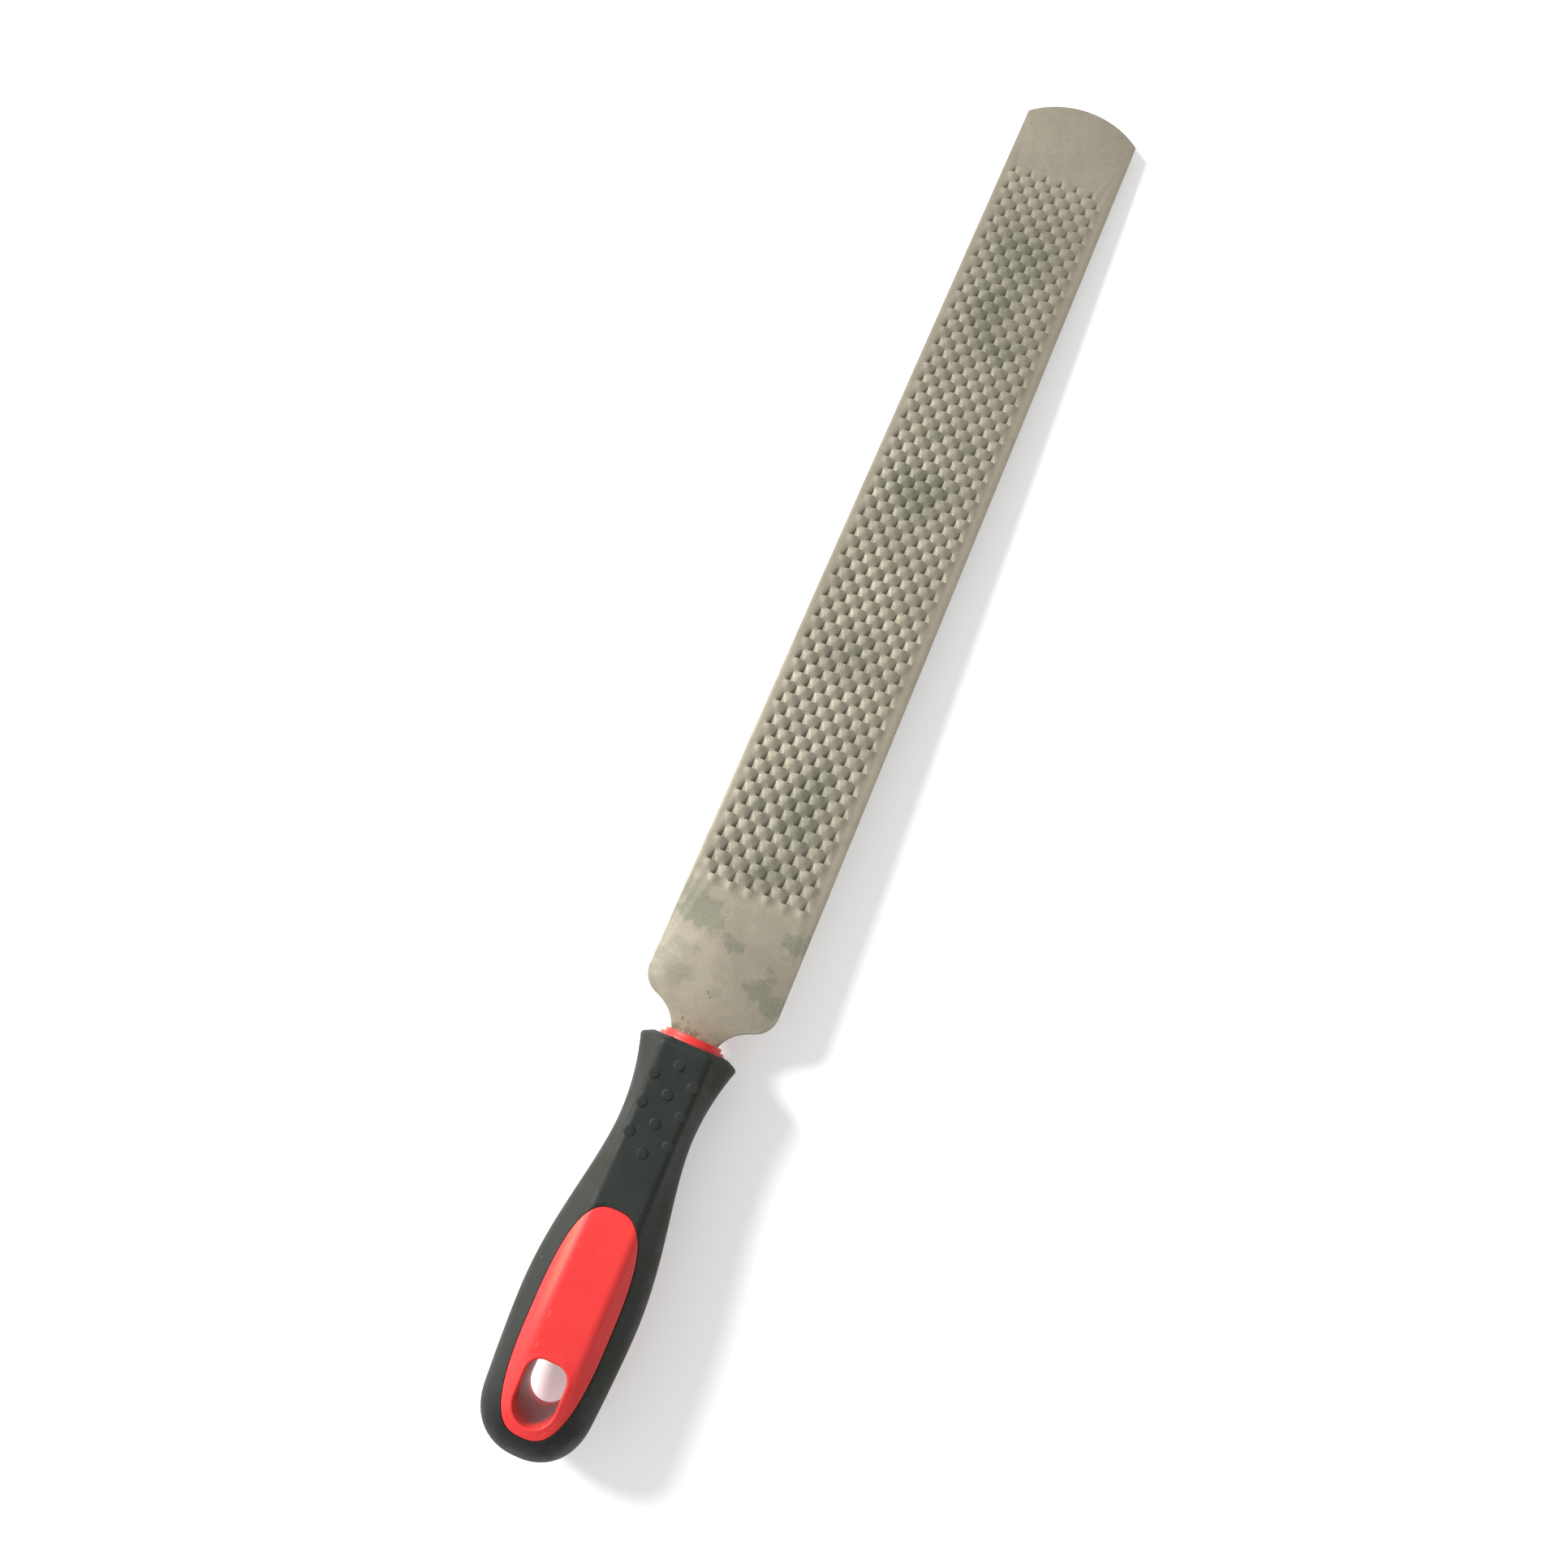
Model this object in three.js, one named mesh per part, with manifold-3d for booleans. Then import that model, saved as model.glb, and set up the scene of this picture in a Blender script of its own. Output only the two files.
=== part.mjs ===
// Farrier's rasp: a flat steel rasp blade whose tang is pressed into a two-shot moulded handle.
//
// Frame, in millimetres: X runs along the blade towards its tip, Y across it, Z up through the
// raised teeth. The origin is on the smooth side of the blade (Z = 0), on the centre line, level
// with the back of the two rounded shoulders where the blade narrows into its neck.

import * as THREE from 'three';
import { ConvexGeometry } from 'three/addons/geometries/ConvexGeometry.js';
import { ParametricGeometry } from 'three/addons/geometries/ParametricGeometry.js';
import { mergeGeometries, mergeVertices } from 'three/addons/utils/BufferGeometryUtils.js';
import Module from 'manifold-3d';

const wasm = await Module();
wasm.setup();

// ---- driving dimensions ------------------------------------------------------------------

const clearance = 0.3; // air gap kept between two pieces that are pressed or moulded together

// blade
const bladeLength = 356; // back of the shoulders to the crown of the tip
const bladeWidth = 42;
const bladeThickness = 4.8;
const tipRadius = 31;
const shoulderRadius = 7.7;
const neckWidth = 14.8; // where the steel enters the collar
const neckRun = 7.3; // collar face to the back of the shoulders
const flankSlope = 0.29; // how far round the shoulder its arc gives way to the neck's curve
const neckPull = { along: 0.5, across: 0.19 }; // neck curve's handles, as shares of its run and rise
const flankPull = { along: 0.76, across: 0.45 };
const tangEndWidth = 6;
const tangToHangHole = 14; // core left between the end of the tang and the hanging hole

// raised teeth, in staggered rows across the blade
const toothRowPitch = 3.94;
const toothPitch = 5.91; // between teeth of one row
const teethPerRow = 6;
const heelPlain = 39.7; // untoothed length at the heel
const tipPlain = 32.5; // untoothed length at the tip
const toothFieldShift = 0.5; // the toothed field sits this much off the centre line
const toothEdgeWidth = 3.8;
const toothCrestWidth = 2.4;
const toothHeight = 0.9;
const toothBack = 3.3; // length of the mound behind the cutting edge
const pitLength = 3.7; // punched pit in front of the cutting edge
const pitDepth = 0.9;

// handle
const handleLength = 119.5; // collar face to butt
const collarReveal = 2.3; // collar standing out of the grip
const collarWall = 1.5; // core left beside the neck
const collarFlangeStep = 1.2;
const collarFlangeReveal = 1.0;
const gripWall = 3; // soft layer over the hard core
const waistSetback = 25.4; // grip front to waist
const swellSetback = 77; // grip front to palm swell
const lipRound = 2.4;
const lipDrop = 3.4;
const buttRound = 14;
const buttRoundPower = 2.4; // above 2 makes the butt squarer than an ellipse
const buttTaperPower = 1.5;
const swellEase = 0.88; // below 1 fills the handle out sooner behind the waist
const gripHalfWidth = { lip: 15.2, waist: 11.35, swell: 17.45, butt: 14.65 };
const gripHalfThickness = { lip: 13.4, waist: 11, swell: 14, butt: 12.6 };
const topFacetWidth = 15;
const leastFacetFall = 2.5; // width kept for the sloping facet beside the top one
const innerFacetShare = 0.4; // how much of an inset the top facet loses
const sideFlatShare = 0.32; // height of the upright side, as a share of the thickness
const ridgeBlend = 2;
const sideBlend = 3.4;

// hard panels showing through the grip, on both faces
const panelLength = 61;
const panelWidth = 23.1;
const panelButtSetback = 7.6; // butt to panel
const panelSquareness = 2.8; // superellipse power of the outline

// hanging hole
const hangHoleLength = 16.7;
const hangHoleWidth = 11.7;
const hangHoleFrontRadius = 4.2;
const hangHoleButtSetback = 10.6; // butt to hole

// grip studs, in three staggered lines on both faces
const studDiameter = 3.4;
const studTopShare = 0.64; // of the diameter
const studRoot = 1; // sunk into the grip
const studHeight = 0.6;
const studPitch = 8.67;
const studLineSpacing = 5.95;
const studsPerMiddleLine = 4;
const studSetback = 6.5; // grip front to the first stud

// mesh fineness
const tipSegments = 24;
const shoulderSegments = 6;
const neckSegments = 6;
const sectionBlendSegments = 2;
const bodyRings = 16;
const buttTurns = [0, 0.14, 0.3, 0.48, 0.68, 0.88]; // shares of a quarter turn round the butt
const lipTurns = [0.35, 0.7, 1]; // the same round the front lip
const holeSegments = 8;
const panelSegments = 48;
const roundSegments = 32;
const studSides = 8;

// ---- derived places ----------------------------------------------------------------------

const midZ = bladeThickness / 2;
const collarFaceX = -neckRun;
const gripFrontX = collarFaceX - collarReveal;
const buttX = collarFaceX - handleLength;
const lipX = gripFrontX - lipRound;
const waistX = gripFrontX - waistSetback;
const swellX = gripFrontX - swellSetback;
const hangHoleRearX = buttX + hangHoleButtSetback;
const hangHoleFrontX = hangHoleRearX + hangHoleLength;
const tangEndX = hangHoleFrontX + tangToHangHole;
const collarRootX = gripFrontX - 2 * gripWall; // where the collar grows out of the core
const collarDiameter = neckWidth + 2 * collarWall;
const collarFlangeDiameter = collarDiameter + 2 * collarFlangeStep;
const overrun = 1; // how far a cutter reaches past the face it opens
const throughHeight = 2 * (Math.max(gripHalfThickness.swell, gripHalfThickness.lip) + overrun);

// ---- solids: closed meshes that can be joined and cut --------------------------------------

function toSolid(geometry) {
  const bare = geometry.clone();
  bare.deleteAttribute('normal');
  bare.deleteAttribute('uv');
  const merged = mergeVertices(bare, 1e-4);
  const index = merged.index.array;
  const kept = [];
  for (let i = 0; i < index.length; i += 3) {
    const [a, b, c] = index.slice(i, i + 3);
    if (a !== b && b !== c && c !== a) kept.push(a, b, c);
  }
  return new wasm.Manifold(new wasm.Mesh({
    numProp: 3,
    vertProperties: new Float32Array(merged.attributes.position.array),
    triVerts: new Uint32Array(kept),
  }));
}

function toMesh(name, solid, finish) {
  const { vertProperties, triVerts } = solid.getMesh();
  const geometry = new THREE.BufferGeometry();
  geometry.setAttribute('position', new THREE.BufferAttribute(vertProperties, 3));
  geometry.setIndex(new THREE.BufferAttribute(triVerts, 1));
  geometry.computeVertexNormals();
  const mesh = new THREE.Mesh(geometry, new THREE.MeshStandardMaterial(finish));
  mesh.name = name;
  return mesh;
}

// A flat outline given thickness, from its lower face upwards.
function slab(shape, bottomZ, height, curveSegments) {
  const geometry = new THREE.ExtrudeGeometry(shape, { depth: height, bevelEnabled: false, curveSegments });
  return geometry.translate(0, 0, bottomZ);
}

// ---- blade -------------------------------------------------------------------------------

// One side of the tang at a given place, as a half width, with room added all round.
function tangHalfWidthAt(x, room) {
  const share = (x - tangEndX) / (collarFaceX - tangEndX);
  return THREE.MathUtils.lerp(tangEndWidth, neckWidth, share) / 2 + room;
}

function bladeOutline() {
  const half = bladeWidth / 2;
  const tipDrop = tipRadius - Math.sqrt(tipRadius ** 2 - half ** 2);
  const tipAngle = Math.asin(half / tipRadius);
  const shoulderY = half - shoulderRadius;
  const flankAngle = Math.PI - Math.asin(flankSlope);
  const flank = new THREE.Vector2(
    shoulderRadius + shoulderRadius * Math.cos(flankAngle),
    shoulderY + shoulderRadius * Math.sin(flankAngle),
  );
  const neck = new THREE.Vector2(collarFaceX, neckWidth / 2);
  const run = flank.x - neck.x;
  const rise = flank.y - neck.y;
  const nearNeck = new THREE.Vector2(neck.x + neckPull.along * run, neck.y + neckPull.across * rise);
  const nearFlank = new THREE.Vector2(neck.x + flankPull.along * run, neck.y + flankPull.across * rise);

  const outline = new THREE.Shape();
  outline.moveTo(tangEndX, -tangEndWidth / 2);
  outline.lineTo(neck.x, -neck.y);
  outline.bezierCurveTo(nearNeck.x, -nearNeck.y, nearFlank.x, -nearFlank.y, flank.x, -flank.y);
  outline.absarc(shoulderRadius, -shoulderY, shoulderRadius, -flankAngle, -Math.PI / 2, false);
  outline.lineTo(bladeLength - tipDrop, -half);
  outline.absarc(bladeLength - tipRadius, 0, tipRadius, -tipAngle, tipAngle, false);
  outline.lineTo(shoulderRadius, half);
  outline.absarc(shoulderRadius, shoulderY, shoulderRadius, Math.PI / 2, flankAngle, false);
  outline.bezierCurveTo(nearFlank.x, nearFlank.y, nearNeck.x, nearNeck.y, neck.x, neck.y);
  outline.lineTo(tangEndX, tangEndWidth / 2);
  outline.closePath();
  return outline;
}

// The places of the cutting edges: alternate rows are shifted by half a tooth.
function toothPlaces() {
  const toothedLength = bladeLength - tipPlain - pitLength - heelPlain;
  const rows = Math.floor(toothedLength / toothRowPitch + 1e-6) + 1;
  const firstY = toothFieldShift - (teethPerRow - 0.5) * toothPitch / 2;
  const places = [];
  for (let row = 0; row < rows; row += 1) {
    const shift = row % 2 === 0 ? 0 : toothPitch / 2;
    for (let tooth = 0; tooth < teethPerRow; tooth += 1) {
      places.push([heelPlain + row * toothRowPitch, firstY + shift + tooth * toothPitch]);
    }
  }
  return places;
}

// The metal thrown up behind the edge: a wedge that rises from the heel side to a straight crest.
function toothMound() {
  const edge = toothEdgeWidth / 2;
  const crest = toothCrestWidth / 2;
  return new ConvexGeometry([
    new THREE.Vector3(-toothBack, 0, 0),
    new THREE.Vector3(0, -edge, 0),
    new THREE.Vector3(0, edge, 0),
    new THREE.Vector3(0, -crest, toothHeight),
    new THREE.Vector3(0, crest, toothHeight),
  ]);
}

// The punch mark in front of the edge: three-sided, deepest at the edge, pointed to the tip.
function toothPit() {
  const edge = toothEdgeWidth / 2;
  return new ConvexGeometry([
    new THREE.Vector3(pitLength, 0, 0),
    new THREE.Vector3(0, -edge, 0),
    new THREE.Vector3(0, edge, 0),
    new THREE.Vector3(0, 0, -pitDepth),
  ]);
}

function repeatOnFace(geometry, places) {
  return mergeGeometries(places.map(([x, y]) => geometry.clone().translate(x, y, bladeThickness)));
}

function raspBlade() {
  const segments = Math.max(tipSegments, shoulderSegments, neckSegments);
  const plate = toSolid(slab(bladeOutline(), 0, bladeThickness, segments));
  const places = toothPlaces();
  const pits = toSolid(repeatOnFace(toothPit(), places));
  const mounds = toSolid(repeatOnFace(toothMound(), places));
  return plate.subtract(pits).add(mounds);
}

// ---- handle form -------------------------------------------------------------------------

// Half width or half thickness of the grip along its length: flared lip, waist, palm swell, butt.
function gripGirth(x, half) {
  if (x >= waistX) {
    const share = (x - waistX) / (lipX - waistX);
    return half.waist + (half.lip - half.waist) * share ** 2;
  }
  if (x >= swellX) {
    const share = ((waistX - x) / (waistX - swellX)) ** swellEase;
    return THREE.MathUtils.lerp(half.waist, half.swell, (1 - Math.cos(Math.PI * share)) / 2);
  }
  const share = (swellX - x) / (swellX - buttX);
  return half.swell - (half.swell - half.butt) * share ** buttTaperPower;
}

// How much of its full section the handle keeps as its butt rounds off.
function buttKeep(x, inset) {
  const round = buttRound - inset;
  const into = (buttX + buttRound - x) / round;
  if (into <= 0) return 1;
  return Math.max(0, 1 - into ** buttRoundPower) ** (1 / buttRoundPower);
}

// The cross-section: an eight-sided outline with blended corners, wider than it is thick.
function sectionOutline(halfWidth, halfThickness, inset) {
  const facet = Math.min(topFacetWidth / 2 - innerFacetShare * inset, halfWidth - leastFacetFall);
  const upright = sideFlatShare * halfThickness;
  const mostBlend = 0.9 * upright;
  const corners = [
    [halfWidth, upright, sideBlend], [facet, halfThickness, ridgeBlend],
    [-facet, halfThickness, ridgeBlend], [-halfWidth, upright, sideBlend],
    [-halfWidth, -upright, sideBlend], [-facet, -halfThickness, ridgeBlend],
    [facet, -halfThickness, ridgeBlend], [halfWidth, -upright, sideBlend],
  ].map(([y, z, blend]) => ({ at: new THREE.Vector2(y, z), blend }));
  const outline = new THREE.Shape();
  corners.forEach(({ at, blend }, i) => {
    const before = corners[(i + corners.length - 1) % corners.length].at;
    const after = corners[(i + 1) % corners.length].at;
    const into = at.clone().add(before.clone().sub(at).setLength(Math.min(blend, mostBlend)));
    const out = at.clone().add(after.clone().sub(at).setLength(Math.min(blend, mostBlend)));
    if (i === 0) outline.moveTo(into.x, into.y);
    else outline.lineTo(into.x, into.y);
    outline.quadraticCurveTo(at.x, at.y, out.x, out.y);
  });
  outline.closePath();
  return outline.getPoints(sectionBlendSegments);
}

// A ring of points round the handle at x, drawn in by inset and shrunk by keep.
function handleRing(x, inset, keep) {
  const halfWidth = gripGirth(x, gripHalfWidth) - inset;
  const halfThickness = gripGirth(x, gripHalfThickness) - inset;
  return sectionOutline(halfWidth, halfThickness, inset)
    .map((p) => new THREE.Vector3(x, p.x * keep, midZ + p.y * keep));
}

// The surface through all rings, closed to a point at each end.
function loft(rings) {
  const stacks = rings.length - 1;
  const slices = rings[0].length - 1;
  const place = (u, v, target) => {
    target.copy(rings[Math.round(u * stacks)][Math.round((1 - v) * slices)]);
  };
  return new ParametricGeometry(place, stacks, slices);
}

// The whole handle form, drawn in by inset all over.
function handleForm(inset) {
  const buttEndX = buttX + inset;
  const buttRoundX = buttX + buttRound;
  const frontX = inset > 0 ? gripFrontX - inset : lipX;
  const rings = [];
  for (const turn of buttTurns) {
    const x = buttEndX + (buttRoundX - buttEndX) * (1 - Math.cos(turn * Math.PI / 2));
    rings.push(handleRing(x, inset, turn === 0 ? 0 : buttKeep(x, inset)));
  }
  for (let i = 0; i <= bodyRings; i += 1) {
    rings.push(handleRing(THREE.MathUtils.lerp(buttRoundX, frontX, i / bodyRings), inset, 1));
  }
  if (inset === 0) {
    for (const turn of lipTurns) {
      const x = lipX + lipRound * Math.sin(turn * Math.PI / 2);
      const drop = lipDrop * (1 - Math.cos(turn * Math.PI / 2));
      const keep = 1 - drop / gripHalfWidth.lip;
      rings.push(handleRing(lipX, 0, keep).map((p) => p.setX(x)));
    }
  }
  const last = rings[rings.length - 1];
  rings.push(last.map((p) => new THREE.Vector3(p.x, 0, midZ)));
  return loft(rings);
}

// A round bar along X, between two places.
function barAlongX(fromX, toX, diameter) {
  const bar = new THREE.CylinderGeometry(diameter / 2, diameter / 2, toX - fromX, roundSegments);
  return bar.rotateZ(Math.PI / 2).translate((fromX + toX) / 2, 0, midZ);
}

// ---- handle core -------------------------------------------------------------------------

function panelOutline(room) {
  const halfLength = panelLength / 2 + room;
  const halfWidth = panelWidth / 2 + room;
  const centreX = buttX + panelButtSetback + panelLength / 2;
  const power = 2 / panelSquareness;
  const points = [];
  for (let i = 0; i < panelSegments; i += 1) {
    const turn = 2 * Math.PI * i / panelSegments;
    const along = Math.sign(Math.cos(turn)) * Math.abs(Math.cos(turn)) ** power;
    const across = Math.sign(Math.sin(turn)) * Math.abs(Math.sin(turn)) ** power;
    points.push(new THREE.Vector2(centreX + halfLength * along, halfWidth * across));
  }
  return new THREE.Shape(points);
}

// A slot through both faces: round at the butt end, squarer at its front end.
function hangHoleOutline() {
  const half = hangHoleWidth / 2;
  const corner = hangHoleFrontRadius;
  const outline = new THREE.Shape();
  outline.absarc(hangHoleRearX + half, 0, half, Math.PI / 2, 3 * Math.PI / 2, false);
  outline.absarc(hangHoleFrontX - corner, corner - half, corner, -Math.PI / 2, 0, false);
  outline.absarc(hangHoleFrontX - corner, half - corner, corner, 0, Math.PI / 2, false);
  outline.closePath();
  return outline;
}

// The tapered pocket that takes the tang, open at the collar face.
function tangSocket() {
  const endX = tangEndX - clearance;
  const mouthX = collarFaceX + overrun;
  const end = tangHalfWidthAt(tangEndX, clearance);
  const mouth = tangHalfWidthAt(mouthX, clearance);
  const outline = new THREE.Shape();
  outline.moveTo(endX, -end);
  outline.lineTo(mouthX, -mouth);
  outline.lineTo(mouthX, mouth);
  outline.lineTo(endX, end);
  outline.closePath();
  return slab(outline, -clearance, bladeThickness + 2 * clearance, 1);
}

function handleCore() {
  const throughZ = midZ - throughHeight / 2;
  const flangeFaceX = gripFrontX + collarFlangeReveal;
  const body = toSolid(handleForm(gripWall + clearance));
  const panels = toSolid(slab(panelOutline(0), throughZ, throughHeight, 1));
  const flushPanels = panels.intersect(toSolid(handleForm(0)));
  const flange = toSolid(barAlongX(collarRootX, flangeFaceX, collarFlangeDiameter));
  const collar = toSolid(barAlongX(collarRootX, collarFaceX, collarDiameter));
  const hangHole = toSolid(slab(hangHoleOutline(), throughZ, throughHeight, holeSegments));
  return body.add(flushPanels).add(flange).add(collar)
    .subtract(hangHole).subtract(toSolid(tangSocket()));
}

// ---- soft grip ---------------------------------------------------------------------------

// Stud centres on one face: a middle line, and a shorter line each side half a pitch behind.
function studPlaces() {
  const firstX = gripFrontX - studSetback;
  const places = [];
  for (let i = 0; i < studsPerMiddleLine; i += 1) {
    places.push([firstX - i * studPitch, 0]);
  }
  for (const side of [-1, 1]) {
    for (let i = 0; i < studsPerMiddleLine - 1; i += 1) {
      places.push([firstX - (i + 0.5) * studPitch, side * studLineSpacing]);
    }
  }
  return places;
}

// A low stud with a slightly smaller top, its foot sunk into the grip.
function stud(face) {
  const foot = studDiameter / 2;
  const geometry = new THREE.CylinderGeometry(foot * studTopShare, foot, studHeight + studRoot, studSides);
  return geometry.rotateX(face * Math.PI / 2).translate(0, 0, face * (studHeight - studRoot) / 2);
}

function studs() {
  return mergeGeometries([-1, 1].flatMap((face) => studPlaces().map(([x, y]) => {
    const surfaceZ = midZ + face * gripGirth(x, gripHalfThickness);
    return stud(face).translate(x, y, surfaceZ);
  })));
}

function softGrip() {
  const throughZ = midZ - throughHeight / 2;
  const boreDiameter = collarFlangeDiameter + 2 * clearance;
  const skin = toSolid(handleForm(0)).add(toSolid(studs()));
  const cavity = toSolid(handleForm(gripWall));
  const windows = toSolid(slab(panelOutline(clearance), throughZ, throughHeight, 1));
  const bore = toSolid(barAlongX(collarRootX - clearance, gripFrontX + overrun, boreDiameter));
  return skin.subtract(cavity).subtract(windows).subtract(bore);
}

// ---- assembly ----------------------------------------------------------------------------

const rasp = new THREE.Group();
rasp.add(toMesh('rasp_blade', raspBlade(), { color: 0xa59e8c, roughness: 0.42, metalness: 0.9 }));
rasp.add(toMesh('handle_core', handleCore(), { color: 0xe6363a, roughness: 0.45, metalness: 0 }));
rasp.add(toMesh('handle_grip', softGrip(), { color: 0x343a38, roughness: 0.8, metalness: 0 }));

export default rasp;
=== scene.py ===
# %% [markdown]
# # A farrier's rasp, from a imported frame to a finished look
#
# The frame holds three solids in metres: the steel blade with its tang, the hard plastic core of
# the handle, and the soft grip moulded over it. They have the right sizes and places, but plain
# faces. Each is replaced here by a piece with the finish of the real thing: punched teeth, a
# rounded and seamed handle, and materials built from nodes. Loading the frame comes first, and its
# box is kept.

import math
import random

import bmesh
import bpy
import numpy as np
from mathutils import Matrix, Vector


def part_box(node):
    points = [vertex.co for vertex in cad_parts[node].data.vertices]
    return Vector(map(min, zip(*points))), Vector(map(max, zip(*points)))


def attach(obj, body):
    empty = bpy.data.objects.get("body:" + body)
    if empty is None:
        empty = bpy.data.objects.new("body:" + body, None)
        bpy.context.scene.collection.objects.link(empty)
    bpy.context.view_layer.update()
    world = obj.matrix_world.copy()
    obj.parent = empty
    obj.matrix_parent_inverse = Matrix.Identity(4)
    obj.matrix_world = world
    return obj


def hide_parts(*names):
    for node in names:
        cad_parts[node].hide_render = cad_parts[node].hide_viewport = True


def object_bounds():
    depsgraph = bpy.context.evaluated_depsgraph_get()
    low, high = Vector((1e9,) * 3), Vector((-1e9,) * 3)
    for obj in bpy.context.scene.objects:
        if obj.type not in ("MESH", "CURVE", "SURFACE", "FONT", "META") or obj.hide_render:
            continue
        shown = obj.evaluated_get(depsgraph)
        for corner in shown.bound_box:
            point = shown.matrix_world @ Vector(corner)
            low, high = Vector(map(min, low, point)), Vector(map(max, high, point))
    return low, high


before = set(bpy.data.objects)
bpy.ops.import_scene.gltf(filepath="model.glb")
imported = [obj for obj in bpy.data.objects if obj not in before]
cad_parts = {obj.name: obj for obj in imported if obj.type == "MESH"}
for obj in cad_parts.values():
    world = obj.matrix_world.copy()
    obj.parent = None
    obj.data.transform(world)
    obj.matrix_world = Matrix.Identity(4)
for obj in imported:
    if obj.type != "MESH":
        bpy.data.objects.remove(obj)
cad_low, cad_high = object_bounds()
MM = 0.001
print("frame box in mm:", [round(v / MM, 1) for v in (*cad_low, *cad_high)])

# %% [markdown]
# ## Camera
#
# The rasp lies on its back and is seen from above its blade. A camera can be set by a place and
# three directions: what points right in the picture, what points up, and what points back to the
# viewer. Those three are the columns of its matrix. A lens of 26 mm on a 36 mm sensor is a phone's
# main camera, and its nearness is what makes the tip look a little narrower than the heel.

# %% Camera
CAMERA_PLACE = (-0.009891, -0.021811, 0.348687)
CAMERA_RIGHT = (0.38490, -0.92270, 0.02167)
CAMERA_UP = (0.89195, 0.37790, 0.24823)
CAMERA_BACK = (-0.23723, -0.07622, 0.96845)
CAMERA_LENS = 26.087

camera_data = bpy.data.cameras.new("camera")
camera_data.lens = CAMERA_LENS
camera_data.sensor_width = 36
camera_data.clip_start = 0.01
camera_data.clip_end = 20
camera = bpy.data.objects.new("camera", camera_data)
bpy.context.scene.collection.objects.link(camera)
axes = Matrix((CAMERA_RIGHT, CAMERA_UP, CAMERA_BACK)).transposed()
camera.matrix_world = Matrix.Translation(CAMERA_PLACE) @ axes.to_4x4()
bpy.context.scene.camera = camera
print("camera", round(camera.location.length, 3), "m from the shoulders of the blade")

# %% [markdown]
# ## Helpers for modelling by hand
#
# Most of this tool is one outline drawn along another: the blade's outline is drawn up through its
# thickness, and the handle's cross-section is drawn along its length while it changes. By hand that
# is a circle, extruded again and again, and reshaped after each extrusion. `ring_body` does just
# that. Every vertex of the circle carries its number round the ring in a layer, and an extruded
# copy inherits it, so that each new ring can be put on its own outline.

# %% Select one object, or some of its parts
def pick(obj):
    bpy.ops.object.select_all(action="DESELECT")
    obj.select_set(True)
    bpy.context.view_layer.objects.active = obj


def select_boundary():
    bpy.ops.mesh.select_mode(type="EDGE")
    bpy.ops.mesh.select_all(action="DESELECT")
    bpy.ops.mesh.select_non_manifold(use_wire=False, use_multi_face=False,
                                     use_non_contiguous=False, use_verts=False)


# %% A body drawn ring by ring
def place_ring(obj, points):
    mesh = bmesh.from_edit_mesh(obj.data)
    place = mesh.verts.layers.int["place"]
    for vertex in mesh.verts:
        if vertex.select:
            vertex.co = Vector(points[vertex[place]]) * MM
    bmesh.update_edit_mesh(obj.data)


def close_end(how):
    if how == "face":
        bpy.ops.mesh.edge_face_add()
    elif how == "point":
        bpy.ops.mesh.merge(type="CENTER")


def ring_body(name, rings, first="face", last="face"):
    """A closed body through rings of points in mm. An end closes to a "face" or a "point", or the
    last ring meets the first one when both say "join"."""
    bpy.ops.object.select_all(action="DESELECT")
    bpy.ops.mesh.primitive_circle_add(vertices=len(rings[0]), radius=MM)
    obj = bpy.context.object
    obj.name = name
    bpy.ops.object.mode_set(mode="EDIT")
    mesh = bmesh.from_edit_mesh(obj.data)
    place = mesh.verts.layers.int.new("place")
    for number, vertex in enumerate(mesh.verts):
        vertex[place] = number
    place_ring(obj, rings[0])
    for points in rings[1:]:
        bpy.ops.mesh.extrude_region()
        place_ring(obj, points)
    if first == "join":
        bpy.ops.mesh.select_all(action="SELECT")
        bpy.ops.mesh.remove_doubles(threshold=0.001 * MM)
    else:
        close_end(last)
        select_boundary()
        close_end(first)
    bpy.ops.mesh.select_all(action="SELECT")
    bpy.ops.mesh.normals_make_consistent(inside=False)
    bpy.ops.object.mode_set(mode="OBJECT")
    return obj


# %% Cut one body with another, or weld them
def combine(obj, other, operation):
    pick(obj)
    bpy.ops.object.modifier_add(type="BOOLEAN")
    boolean = obj.modifiers[-1]
    boolean.operation = operation
    boolean.object = other
    boolean.solver = "MANIFOLD"
    bpy.ops.object.modifier_apply(modifier=boolean.name)
    bpy.data.objects.remove(other)


def finish_piece(piece, node, crease_angle):
    """Shades the piece smooth up to an angle, and gives it its place in the frame."""
    pick(piece)
    bpy.ops.object.shade_smooth_by_angle(angle=math.radians(crease_angle))
    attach(piece, "root")
    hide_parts(node)
    open_edges = count_open_edges(piece)
    print(piece.name, len(piece.data.polygons), "faces,", open_edges, "open edges")


def count_open_edges(piece):
    mesh = bmesh.new()
    mesh.from_mesh(piece.data)
    count = sum(1 for edge in mesh.edges if len(edge.link_faces) != 2)
    mesh.free()
    return count


# %% [markdown]
# ## The blade
#
# The blade is a flat bar of hardened steel, ground to a rounded tip, with round shoulders that run
# into a narrow neck and a tang hidden in the handle. Its outline is drawn once, point by point, and
# extruded by the bar's thickness. A real bar is never knife-sharp along its edges, so its outline
# is bevelled by a quarter of a millimetre on both faces.

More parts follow.
